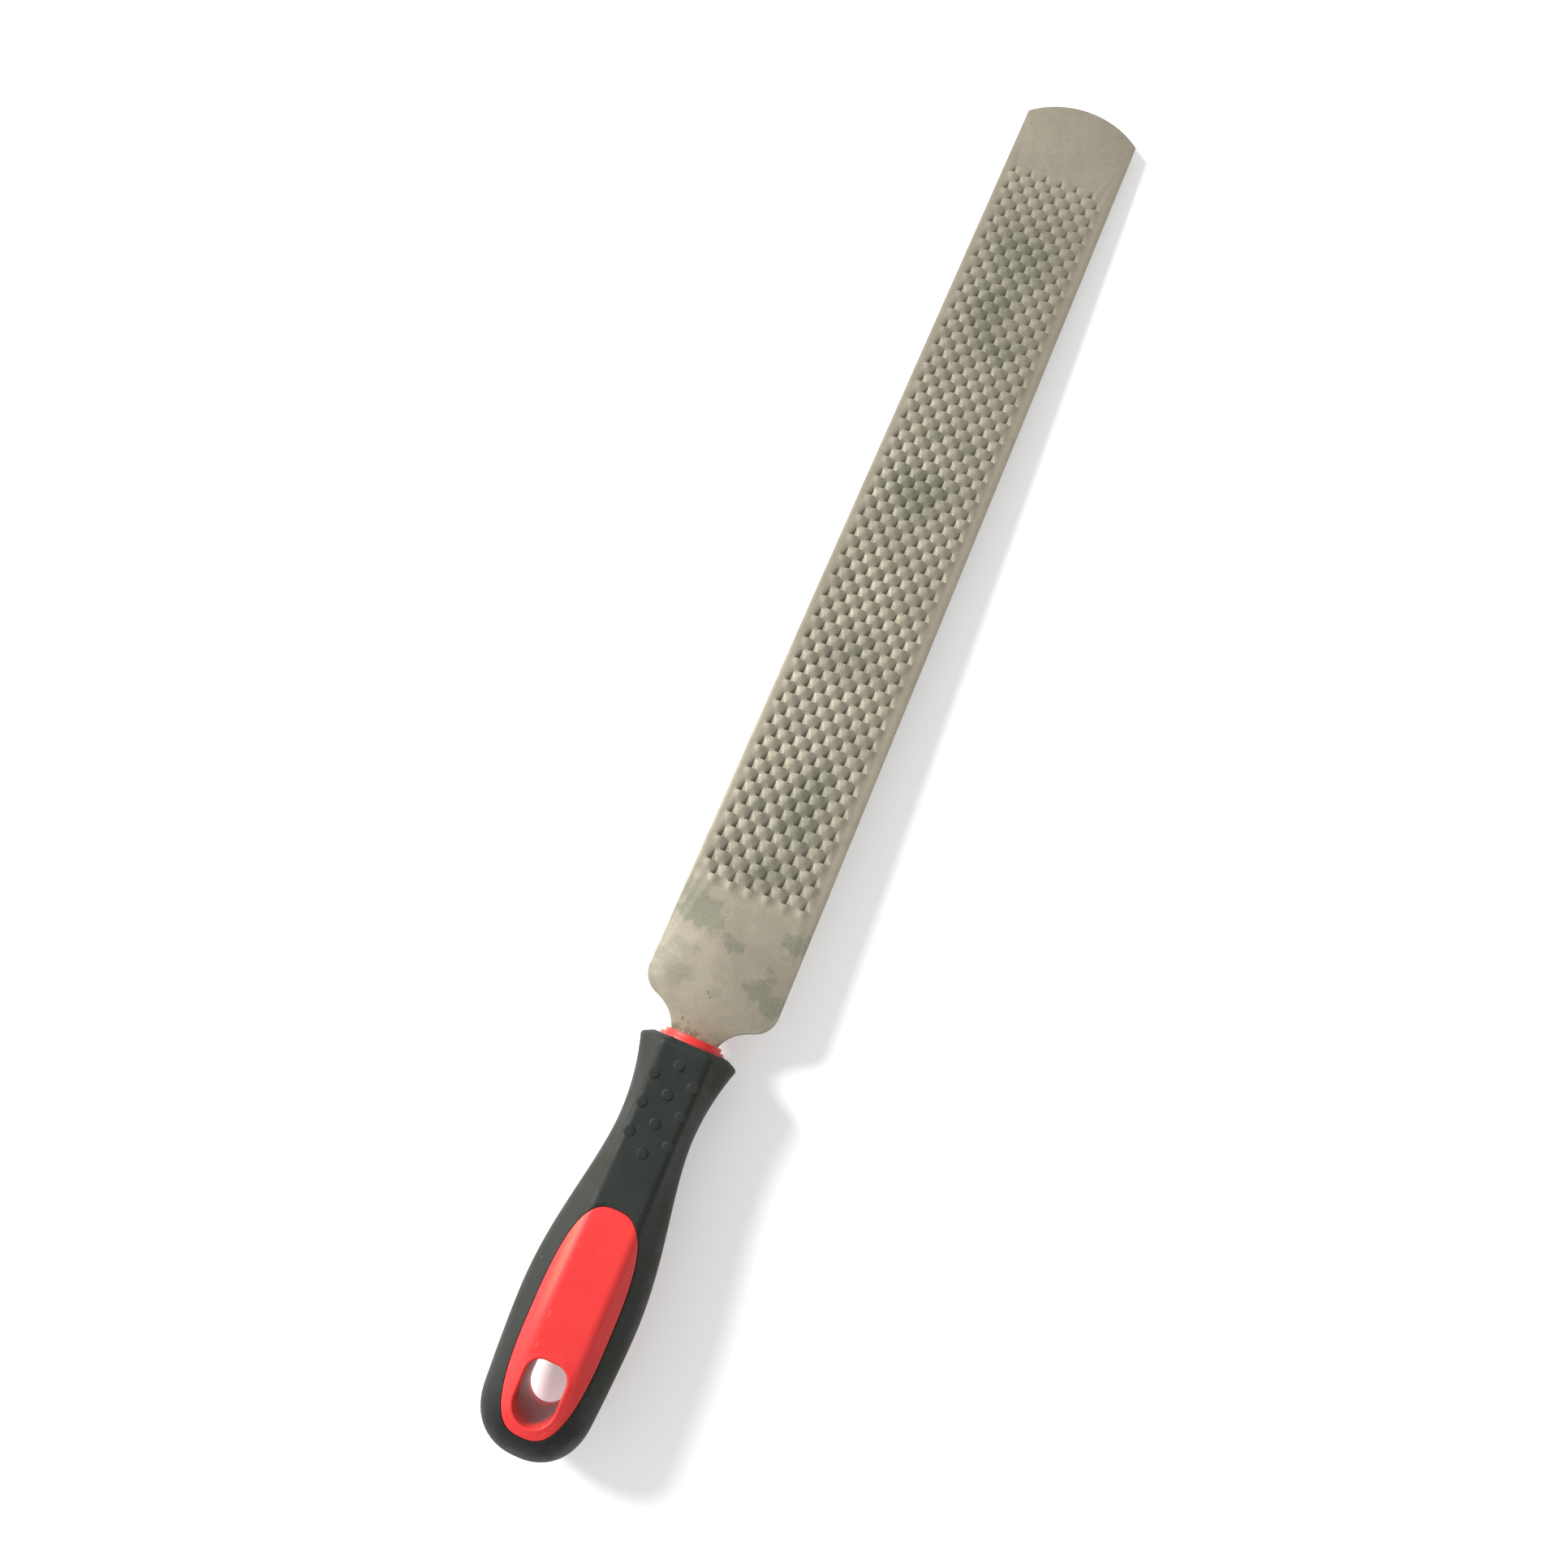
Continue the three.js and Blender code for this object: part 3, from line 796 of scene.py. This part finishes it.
# %% The pocket for the tang
def tang_half(x):
    share = (x - TANG_END_X) / (COLLAR_FACE_X - TANG_END_X)
    return (TANG_END_WIDTH + (NECK_WIDTH - TANG_END_WIDTH) * share) / 2 + CLEARANCE


back_x, back_half = TANG_END_X - CLEARANCE, tang_half(TANG_END_X)
mouth_x = COLLAR_FACE_X + 1
mouth_half = tang_half(mouth_x)
pocket_outline = [(back_x, -back_half), (mouth_x, -mouth_half), (mouth_x, mouth_half), (back_x, back_half)]
pocket = ring_body("pocket", [[(x, y, z) for x, y in pocket_outline]
                              for z in (-CLEARANCE, BLADE_THICKNESS + CLEARANCE)])
combine(core, pocket, "DIFFERENCE")
finish_piece(core, "handle_core", crease_angle=32)

# %% [markdown]
# ## The grip
#
# The grip is a soft skin moulded over the core. Its outside is the handle's form, with a lip cut
# back at the front, more on its sides than on its faces, where the mould's flash leaves a ragged
# edge. Its inside is the same form drawn in by the wall. Two windows let the panels through: their
# cutter flares at the surface, so the rubber's edge comes out rounded. Ten low studs on each face
# are modelled once and copied.

# %% The skin, with its lip
LIP_TOP_SHARE = 0.35
LIP_PROFILE = ((0.3, 0.04), (0.6, 0.16), (0.85, 0.36), (1.05, 0.62), (1.3, 1.05), (1.6, 1.65),
               (1.95, 2.4), (2.2, 2.95), (2.4, 3.4))
FLASH = ((0.3, GRIP_FRONT_X - 0.08), (0.65, GRIP_FRONT_X - 0.3), (1.0, GRIP_FRONT_X - 0.8),
         (1.7, GRIP_FRONT_X - 1.1), (3.0, GRIP_FRONT_X - 1.2))


def ragged(ring, chance, reach):
    """The ring with each point moved by a short random step, smoothed over its neighbours."""
    steps = [chance.uniform(-1, 1) for _ in ring]
    count = len(ring)
    smooth = [(steps[i - 1] + 2 * steps[i] + steps[(i + 1) % count]) / 4 for i in range(count)]
    return [(x + reach * s, y * (1 + 0.02 * s), MID_Z + (z - MID_Z) * (1 + 0.02 * s))
            for (x, y, z), s in zip(ring, smooth)]


def lip_ring(x, drop):
    """The section at the lip, moved to x and drawn in, less on its faces than on its sides."""
    side = 1 - drop / HALF_WIDTH["lip"]
    face = 1 - LIP_TOP_SHARE * drop / HALF_WIDTH["lip"]
    return [(x, y * side, MID_Z + (z - MID_Z) * face) for _, y, z in handle_ring(LIP_X, 0, 1)]


def skin_rings():
    rings = handle_rings(0, LIP_X, 64)
    rings += [lip_ring(LIP_X + forward, drop) for forward, drop in LIP_PROFILE]
    chance = random.Random(11)
    rings += [ragged(lip_ring(x, LIP_DROP + step), chance, 0.4) for step, x in FLASH]
    return rings


grip = ring_body("grip_rubber", skin_rings(), first="point", last="face")
print("skin", len(grip.data.polygons), "faces")

# %% One stud, and its copies
STUD_RADIUS = 1.7
STUD_PROFILE = ((1.0, -1.0), (1.0, 0.09), (0.93, 0.18), (0.82, 0.24), (0.62, 0.28), (0.3, 0.29))
STUD_PITCH = 8.67
STUD_LINE_SPACING = 5.95
STUD_SETBACK = 6.5


def stud_places():
    first_x = GRIP_FRONT_X - STUD_SETBACK
    places = [(first_x - i * STUD_PITCH, 0) for i in range(4)]
    return places + [(first_x - (i + 0.5) * STUD_PITCH, side * STUD_LINE_SPACING)
                     for side in (-1, 1) for i in range(3)]


angles = np.linspace(0, 2 * math.pi, 20, endpoint=False)
stud = ring_body("stud", [[(STUD_RADIUS * share * math.cos(a), STUD_RADIUS * share * math.sin(a), z)
                           for a in angles] for share, z in STUD_PROFILE])
copies = []
for face in (-1, 1):
    for x, y in stud_places():
        pick(stud)
        bpy.ops.object.duplicate()
        copy = bpy.context.object
        if face < 0:
            bpy.ops.transform.rotate(value=math.pi, orient_axis="X", center_override=(0, 0, 0))
        surface = MID_Z + face * girth(x, HALF_THICKNESS)
        bpy.ops.transform.translate(value=(x * MM, y * MM, surface * MM))
        copies.append(copy)
bpy.data.objects.remove(stud)
print(len(copies), "studs")
bpy.ops.object.select_all(action="DESELECT")
for copy in copies:
    copy.select_set(True)
bpy.context.view_layer.objects.active = copies[0]
bpy.ops.object.join()
studs = bpy.context.object
bpy.ops.object.transform_apply(location=True, rotation=True, scale=True)
combine(grip, studs, "UNION")


# %% Hollow the skin and open its windows and mouth
WINDOW_FLARE = ((0.1, -0.5), (0.11, -0.22), (0.14, -0.1), (0.2, -0.02), (0.26, 0.02))
WINDOW_CAP = 20


def window_rings():
    top = [on_top(panel_outline(room), lift) for room, lift in WINDOW_FLARE]
    top.append([(x, y, MID_Z + WINDOW_CAP) for x, y, _ in top[-1]])
    under = [[(x, y, 2 * MID_Z - z) for x, y, z in ring] for ring in reversed(top)]
    return [*under, *top]


cavity = ring_body("cavity", handle_rings(GRIP_WALL, GRIP_FRONT_X - GRIP_WALL, 24,
                                          corner_steps=3, side_steps=2), first="point", last="face")
combine(grip, cavity, "DIFFERENCE")
combine(grip, ring_body("windows", window_rings()), "DIFFERENCE")
mouth = turned([(COLLAR_ROOT_X - CLEARANCE, FLANGE_RADIUS + CLEARANCE),
                (GRIP_FRONT_X + 2, FLANGE_RADIUS + CLEARANCE)])
combine(grip, mouth, "DIFFERENCE")
finish_piece(grip, "handle_grip", crease_angle=34)

# %% [markdown]
# ## Floor and lights
#
# The rasp rests on two places: the tip of the blade, and the point of the handle's underside that a
# board swung up from the tip meets first. The floor is a pale plane laid through both. A bright even
# sky gives the soft studio light, and one large lamp beside the blade gives the teeth their light
# and dark sides.

# %% Floor
FLOOR_SIZE = 12
slope = max(math.atan2(-vertex.co.z, cad_high.x - vertex.co.x)
            for piece in (core, grip) for vertex in piece.data.vertices)
floor_place = (0, 0, -cad_high.x * math.tan(slope))
bpy.ops.object.select_all(action="DESELECT")
bpy.ops.mesh.primitive_plane_add(size=FLOOR_SIZE, location=floor_place, rotation=(0, -slope, 0))
floor = bpy.context.object
floor.name = "floor"
print("the handle lifts the heel by", round(math.degrees(slope), 2), "degrees")

# %% Lights
KEY_PLACE = (0.25, 1.3, 0.92)
KEY_TARGET = (0.1, 0, 0)
KEY_SIZE = 0.5
KEY_WATTS = 43
SKY_STRENGTH = 0.56


def area_light(name, place, target, size, watts):
    data = bpy.data.lights.new(name, "AREA")
    data.shape = "DISK"
    data.size = size
    data.energy = watts
    lamp = bpy.data.objects.new(name, data)
    lamp.location = place
    lamp.rotation_euler = (Vector(target) - Vector(place)).to_track_quat("-Z", "Y").to_euler()
    bpy.context.scene.collection.objects.link(lamp)
    print(name, "light of", watts, "W")


area_light("key", KEY_PLACE, KEY_TARGET, KEY_SIZE, KEY_WATTS)
world = bpy.data.worlds.new("studio")
bpy.context.scene.world = world
world.use_nodes = True
sky = world.node_tree.nodes["Background"].inputs
sky["Color"].default_value = (1, 1, 1, 1)
sky["Strength"].default_value = SKY_STRENGTH
bpy.context.scene.view_settings.view_transform = "Standard"

# %% [markdown]
# ## Materials
#
# Every finish is a small tree of nodes on object coordinates, which a Mapping node turns into
# millimetres, so that a grain of half a millimetre is half a millimetre on every piece. Effects that
# come back are node groups, built once: a fine grain, clouds of stain, a single spot with a ragged
# edge, and a mask for the edges that use has rubbed.

# %% Node helpers
def linear(red, green, blue):
    return tuple((c / 255 / 12.92) if c <= 10 else ((c / 255 + 0.055) / 1.055) ** 2.4
                 for c in (red, green, blue)) + (1,)


def feed(tree, socket, value):
    if isinstance(value, bpy.types.NodeSocket):
        tree.links.new(value, socket)
    else:
        socket.default_value = value


def add_node(tree, kind, inputs=(), **settings):
    node = tree.nodes.new(kind)
    for key, value in settings.items():
        setattr(node, key, value)
    for key, value in dict(inputs).items():
        feed(tree, node.inputs[key], value)
    return node


def maths(tree, operation, a, b=0.0):
    return add_node(tree, "ShaderNodeMath", {0: a, 1: b}, operation=operation).outputs[0]


def times(tree, a, b):
    return maths(tree, "MULTIPLY", a, b)


def split(tree, vector):
    return add_node(tree, "ShaderNodeSeparateXYZ", {"Vector": vector}).outputs


def noise(tree, vector, scale, detail, roughness=0.5, distortion=0.0):
    node = add_node(tree, "ShaderNodeTexNoise", {"Vector": vector, "Scale": scale, "Detail": detail,
                                                 "Roughness": roughness, "Distortion": distortion})
    return node.outputs[0]


def ramp(tree, value, low, high, to_low=0.0, to_high=1.0):
    """Turns low..high into to_low..to_high along a soft S."""
    limits = {"From Min": low, "From Max": high, "To Min": to_low, "To Max": to_high}
    node = add_node(tree, "ShaderNodeMapRange", {"Value": value, **limits},
                    interpolation_type="SMOOTHSTEP")
    return node.outputs["Result"]


# The Mix node's colour sockets share their names with its number sockets, so they go by number.
MIX_MASK, MIX_BELOW, MIX_ABOVE, MIX_RESULT = 0, 6, 7, 2


def lay(tree, colour, shade, mask, weight=1.0):
    """Lays a shade over the colour, where the mask says and as strongly as the weight."""
    node = add_node(tree, "ShaderNodeMix", data_type="RGBA")
    feed(tree, node.inputs[MIX_MASK], mask if weight == 1 else times(tree, mask, weight))
    feed(tree, node.inputs[MIX_BELOW], colour)
    feed(tree, node.inputs[MIX_ABOVE], linear(*shade))
    return node.outputs[MIX_RESULT]


# %% Node groups
def new_group(name, inputs, output):
    """A group with one output. An input that has no value is a vector, and the rest are numbers."""
    tree = bpy.data.node_groups.new(name, "ShaderNodeTree")
    for label, value in inputs.items():
        kind = "NodeSocketVector" if value is None else "NodeSocketFloat"
        socket = tree.interface.new_socket(name=label, in_out="INPUT", socket_type=kind)
        if value is not None:
            socket.default_value = value
    tree.interface.new_socket(name=output, in_out="OUTPUT", socket_type="NodeSocketFloat")
    return tree, tree.nodes.new("NodeGroupInput").outputs, tree.nodes.new("NodeGroupOutput").inputs


def use_group(tree, group, inputs):
    node = tree.nodes.new("ShaderNodeGroup")
    node.node_tree = group
    for key, value in inputs.items():
        feed(tree, node.inputs[key], value)
    return node.outputs[0]


# %% Shared effect: fine grain
grain_group, into, out = new_group("fine_grain", {"Vector": None, "Size": 0.5}, "Grain")
scale = maths(grain_group, "DIVIDE", 1.0, into["Size"])
speckles = noise(grain_group, into["Vector"], scale, 2.0, 0.6)
feed(grain_group, out["Grain"], ramp(grain_group, speckles, 0.3, 0.7))


def grains(tree, mm, size):
    return use_group(tree, grain_group, {"Vector": mm, "Size": size})


# %% Shared effect: clouds of stain
cloud_group, into, out = new_group("stain_clouds", {"Vector": None, "Size": 10, "Least": 0.5,
                                                    "Softness": 0.1}, "Mask")
scale = maths(cloud_group, "DIVIDE", 1.0, into["Size"])
billows = noise(cloud_group, into["Vector"], scale, 5.0, 0.58, 0.5)
most = maths(cloud_group, "ADD", into["Least"], into["Softness"])
feed(cloud_group, out["Mask"], ramp(cloud_group, billows, into["Least"], most))


def stains(tree, mm, size, least, softness):
    return use_group(tree, cloud_group, {"Vector": mm, "Size": size, "Least": least,
                                         "Softness": softness})


# %% Shared effect: one spot with a ragged edge
spot_group, into, out = new_group("ragged_spot", {"Vector": None, "Centre": None, "Radius": 5,
                                                  "Raggedness": 0.8}, "Mask")
far = add_node(spot_group, "ShaderNodeVectorMath", {0: into["Vector"], 1: into["Centre"]},
               operation="DISTANCE")
share = maths(spot_group, "DIVIDE", far.outputs["Value"], into["Radius"])
off_middle = maths(spot_group, "SUBTRACT", noise(spot_group, into["Vector"], 0.17, 6.0, 0.58), 0.5)
wobble = times(spot_group, off_middle, times(spot_group, into["Raggedness"], 4.0))
feed(spot_group, out["Mask"], ramp(spot_group, maths(spot_group, "ADD", share, wobble), 1.25, 0.6))

# %% Shared effect: rubbed edges
edge_group, into, out = new_group("rubbed_edges", {"Vector": None, "Least": 0.53, "Most": 0.6}, "Mask")
point = add_node(edge_group, "ShaderNodeNewGeometry").outputs["Pointiness"]
patches = ramp(edge_group, noise(edge_group, into["Vector"], 0.6, 3.0), 0.35, 0.6)
feed(edge_group, out["Mask"],
     times(edge_group, ramp(edge_group, point, into["Least"], into["Most"]), patches))
print("shared effects:", [group.name for group in bpy.data.node_groups])


# %% A material with its coordinates in millimetres
def start_material(name):
    material = bpy.data.materials.new(name)
    material.use_nodes = True
    tree = material.node_tree
    shader = tree.nodes["Principled BSDF"]
    place = tree.nodes.new("ShaderNodeTexCoord")
    scale = add_node(tree, "ShaderNodeMapping", {"Vector": place.outputs["Object"],
                                                 "Scale": (1000, 1000, 1000)})
    return material, tree, shader, scale.outputs["Vector"]


def bump(tree, shader, height, distance, strength=1.0):
    node = add_node(tree, "ShaderNodeBump", {"Height": height, "Distance": distance, "Strength": strength})
    feed(tree, shader.inputs["Normal"], node.outputs["Normal"])


def dress(piece, material):
    piece.data.materials.clear()
    piece.data.materials.append(material)
    print(piece.name, "wears", material.name, "of", len(material.node_tree.nodes), "nodes")


# %% [markdown]
# ## Steel
#
# The blade is plain tool steel with the matt, warm grey of a blasted and oiled surface. Storage has
# left greenish clouds and a few darker stains, most of them on the untoothed heel, and a brown tint
# where the neck meets the collar. In the toothed field the colour darkens with depth below the face,
# as painted shade in the pits, and the crests are rubbed bright, so it lightens with height above it.

# %% Colours of the steel
STEEL = (156, 149, 132)
STEEL_CLOUD = (145, 138, 122)
STEEL_MOTTLE = (138, 132, 118)
STEEL_STAIN = (117, 120, 102)
STEEL_FIELD = (99, 100, 85)
STEEL_CREST = (150, 144, 128)
STEEL_NECK = (132, 124, 102)
STEEL_LIGHT = (176, 166, 146)
STEEL_PEPPER = (110, 102, 84)
# painted shade in the pits of the teeth
PIT_SHADE = (84, 82, 70)
NECK_GRIME = (86, 66, 44)

# %% Stains and nicks, each a place, a radius and a weight
HEEL_STAINS = (((27, 13.5), 6.5, 0.75), ((35, 18), 5.5, 0.5), ((21.7, 1), 3.2, 0.8),
               ((29.3, -17.3), 4.2, 0.75), ((13, -13), 4.6, 0.8), ((9.5, -17.5), 4.2, 0.75),
               ((12, 18), 5.2, 0.45), ((7.5, 12), 4, 0.4), ((7, -1), 1.8, 0.3))
NICKS = (((-3.1, 5.4), 0.28, 0.8), ((-3.6, 5.3), 0.32, 0.8), ((-3.9, 3.3), 0.25, 0.8),
         ((6.6, 1.7), 0.2, 0.8), ((6.1, 1.2), 0.24, 0.8), ((5.3, 0.4), 0.3, 0.8),
         ((14.5, -13.2), 0.22, 0.8))


def spots(tree, mm, places, raggedness):
    mask = None
    for (x, y), radius, weight in places:
        spot = use_group(tree, spot_group, {"Vector": mm, "Centre": (x, y, BLADE_THICKNESS),
                                            "Radius": radius, "Raggedness": raggedness})
        spot = times(tree, spot, weight)
        mask = spot if mask is None else maths(tree, "MAXIMUM", mask, spot)
    return mask


# %% Tint of the toothed field
FIELD_FROM_HEEL = (36, 46)
FIELD_FROM_TIP = (326, 300)
FIELD_MIDDLE = 1.5


def off_line(tree, across, line):
    return maths(tree, "ABSOLUTE", maths(tree, "SUBTRACT", across, line))


def field_tint(tree, mm, along, across):
    """Strong in patches along the middle of the field, weak out to its edges."""
    field = times(tree, ramp(tree, along, *FIELD_FROM_HEEL), ramp(tree, along, *FIELD_FROM_TIP))
    middle = ramp(tree, off_line(tree, across, FIELD_MIDDLE), 18, 8)
    patchy = stains(tree, mm, 22, 0.36, 0.3)
    deep = times(tree, middle, times(tree, patchy, 0.9))
    wide = ramp(tree, off_line(tree, across, FIELD_SHIFT), 20, 17, 0, 0.45)
    return times(tree, field, maths(tree, "MAXIMUM", wide, deep))


# %% By height: painted shade in the pits, rubbed crests
# Painted shade: darker with depth below the toothed face, on the toothed side only.
def pit_shade_mask(tree, high):
    depth = ramp(tree, high, BLADE_THICKNESS + 0.02, BLADE_THICKNESS - 0.4)
    return times(tree, depth, ramp(tree, high, 1.5, 2.5))


def scratches(tree, mm):
    place = add_node(tree, "ShaderNodeMapping", {"Vector": mm, "Rotation": (0, 0, 0.6),
                                                 "Scale": (0.12, 2.4, 1)})
    return ramp(tree, noise(tree, place.outputs["Vector"], 1.0, 3.0), 0.7, 0.76)


# %% Steel
def steel_material():
    material, tree, shader, mm = start_material("rasp_steel")
    along, across, high = split(tree, mm)
    clouds = stains(tree, mm, 14, 0.42, 0.25)
    mottle = stains(tree, mm, 3.2, 0.45, 0.3)
    grime = stains(tree, mm, 1.8, 0.42, 0.2)
    pepper = stains(tree, mm, 0.9, 0.66, 0.05)
    speckle = grains(tree, mm, 0.55)
    crest = ramp(tree, high, BLADE_THICKNESS + 0.45, BLADE_THICKNESS + 0.85)
    grime = times(tree, grime, ramp(tree, along, -3.6, -7, 0, 0.7))
    colour = lay(tree, linear(*STEEL), STEEL_CLOUD, clouds)
    colour = lay(tree, colour, STEEL_MOTTLE, mottle, 0.6)
    colour = lay(tree, colour, STEEL_STAIN, spots(tree, mm, HEEL_STAINS, 1.1))
    colour = lay(tree, colour, STEEL_FIELD, field_tint(tree, mm, along, across))
    # painted shade, darker with depth in the pits
    colour = lay(tree, colour, PIT_SHADE, pit_shade_mask(tree, high), 0.8)
    colour = lay(tree, colour, STEEL_CREST, crest, 0.5)
    colour = lay(tree, colour, STEEL_NECK, ramp(tree, along, 1.5, -6), 0.55)
    colour = lay(tree, colour, NECK_GRIME, grime)
    colour = lay(tree, colour, NECK_GRIME, spots(tree, mm, NICKS, 0.5))
    colour = lay(tree, colour, STEEL_LIGHT, speckle, 0.22)
    colour = lay(tree, colour, STEEL_PEPPER, pepper, 0.45)
    feed(tree, shader.inputs["Base Color"], colour)
    shader.inputs["Metallic"].default_value = 0.5
    rough = maths(tree, "ADD", ramp(tree, clouds, 0, 1, 0.58, 0.68), times(tree, crest, -0.12))
    feed(tree, shader.inputs["Roughness"], rough)
    height = maths(tree, "SUBTRACT", speckle, times(tree, scratches(tree, mm), 0.8))
    bump(tree, shader, height, 0.014 * MM, 0.6)
    return material


dress(blade, steel_material())

# %% [markdown]
# ## Red plastic
#
# The core is injection-moulded in a bright red, with the very fine grain of a textured mould. The
# slot's wall is painted darker deeper inside it, in patches, as painted shade. Rims that rub against
# a hook or a hand turn a little paler, and a pale band beside the ridge on the lamp's side is a
# painted highlight.

# %% Red plastic
RED = (212, 46, 46)
RED_DEEP = (206, 36, 40)
RED_PALE = (236, 92, 78)
# painted highlight along the ridge on the lamp's side
RIDGE_HIGHLIGHT = (246, 126, 92)
# painted shade deep inside the slot
SLOT_SHADE = (92, 18, 14)


# Painted highlight: a pale band just outside the top facet's edge, on the +Y side only, towards the lamp.
def ridge_highlight_band(tree, along, across):
    edge = TOP_FACET / 2
    band = times(tree, ramp(tree, across, edge, edge + 0.5),
                 ramp(tree, across, edge + 3.2, edge + 0.8))
    return times(tree, band, ramp(tree, along, SWELL_X - 12, SWELL_X + 16, 0, 0.4))


# Painted shade: darker towards the middle of the slot's depth, in patches.
def slot_shade_patches(tree, mm, along, high):
    deep = ramp(tree, off_line(tree, high, MID_Z), 11.2, 7)
    dusty = stains(tree, mm, 6, 0.3, 0.4)
    deep_shade = times(tree, deep, ramp(tree, along, HOLE_FRONT_X + 2, HOLE_FRONT_X))
    return times(tree, deep_shade, ramp(tree, dusty, 0, 1, 0.4, 0.65))


def plastic_material():
    material, tree, shader, mm = start_material("core_plastic")
    along, across, high = split(tree, mm)
    clouds = stains(tree, mm, 9, 0.4, 0.3)
    grain = grains(tree, mm, 0.32)
    rubbed = use_group(tree, edge_group, {"Vector": mm, "Least": 0.52, "Most": 0.62})
    colour = lay(tree, linear(*RED), RED_DEEP, clouds, 0.35)
    colour = lay(tree, colour, RED_PALE, grain, 0.16)
    colour = lay(tree, colour, RED_PALE, rubbed, 0.5)
    # painted highlight beside the ridge
    colour = lay(tree, colour, RIDGE_HIGHLIGHT, ridge_highlight_band(tree, along, across))
    # painted shade inside the slot
    colour = lay(tree, colour, SLOT_SHADE, slot_shade_patches(tree, mm, along, high))
    feed(tree, shader.inputs["Base Color"], colour)
    feed(tree, shader.inputs["Roughness"], ramp(tree, grain, 0, 1, 0.4, 0.5))
    shader.inputs["Specular IOR Level"].default_value = 0.35
    bump(tree, shader, maths(tree, "ADD", grain, times(tree, clouds, 0.5)), 0.02 * MM, 0.6)
    return material


dress(core, plastic_material())

# %% [markdown]
# ## Rubber
#
# The grip is a charcoal thermoplastic rubber with a green cast, dull and faintly dusty. Its sides,
# where the surface faces along Y, get a lighter olive as a painted sheen, and its butt has stayed dark.
# Palms polish it a little, so its roughness wanders in soft clouds, and lint and chalk leave pale specks.

# %% Rubber
RUBBER = (25, 31, 29)
RUBBER_DUSTY = (42, 45, 38)
# painted sheen on the sides
RUBBER_SHEEN = (36, 35, 22)
RUBBER_BUTT = (12, 16, 15)
RUBBER_SPECK = (150, 150, 140)


def side_sheen(tree, clouds):
    """Painted sheen on the sides: strong where the surface faces along Y."""
    surface = add_node(tree, "ShaderNodeTexCoord")
    facing = split(tree, surface.outputs["Normal"])
    sides = ramp(tree, maths(tree, "ABSOLUTE", facing["Y"]), 0.25, 0.75)
    return times(tree, sides, ramp(tree, clouds, 0, 1, 0.3, 0.75))


def rubber_material():
    material, tree, shader, mm = start_material("grip_rubber")
    along = split(tree, mm)["X"]
    clouds = stains(tree, mm, 11, 0.38, 0.3)
    grain = grains(tree, mm, 0.4)
    lint = stains(tree, mm, 0.8, 0.7, 0.05)
    butt = ramp(tree, along, BUTT_X + BUTT_ROUND + 14, BUTT_X + BUTT_ROUND / 2, 0, 0.75)
    colour = lay(tree, linear(*RUBBER), RUBBER_DUSTY, clouds, 0.4)
    colour = lay(tree, colour, RUBBER_DUSTY, grain, 0.25)
    # painted sheen on the sides facing along Y
    colour = lay(tree, colour, RUBBER_SHEEN, side_sheen(tree, clouds))
    colour = lay(tree, colour, RUBBER_BUTT, butt)
    colour = lay(tree, colour, RUBBER_SPECK, lint, 0.6)
    feed(tree, shader.inputs["Base Color"], colour)
    feed(tree, shader.inputs["Roughness"], ramp(tree, clouds, 0, 1, 0.56, 0.7))
    shader.inputs["Specular IOR Level"].default_value = 0.3
    shader.inputs["Sheen Weight"].default_value = 0.03
    shader.inputs["Sheen Roughness"].default_value = 0.5
    bump(tree, shader, maths(tree, "ADD", grain, times(tree, clouds, 0.6)), 0.022 * MM, 0.6)
    return material


dress(grip, rubber_material())

# %% [markdown]
# ## Paper
#
# A matt white sheet makes the plainest floor, and its fibre is the shared grain at a millimetre and a
# half. It is given a faint glow of its own, so that it stays white away from the lamp as well, and
# the light that it throws back reaches under the handle.

# %% Floor paper
PAPER_GLOW = 0.3
PAPER = (240, 240, 240)
PAPER_FIBRE = (235, 235, 234)


def paper_material():
    material, tree, shader, mm = start_material("floor_paper")
    fibre = grains(tree, mm, 1.5)
    feed(tree, shader.inputs["Base Color"], lay(tree, linear(*PAPER), PAPER_FIBRE, fibre, 0.3))
    shader.inputs["Roughness"].default_value = 0.9
    shader.inputs["Emission Color"].default_value = (1, 1, 1, 1)
    shader.inputs["Emission Strength"].default_value = PAPER_GLOW
    return material


dress(floor, paper_material())
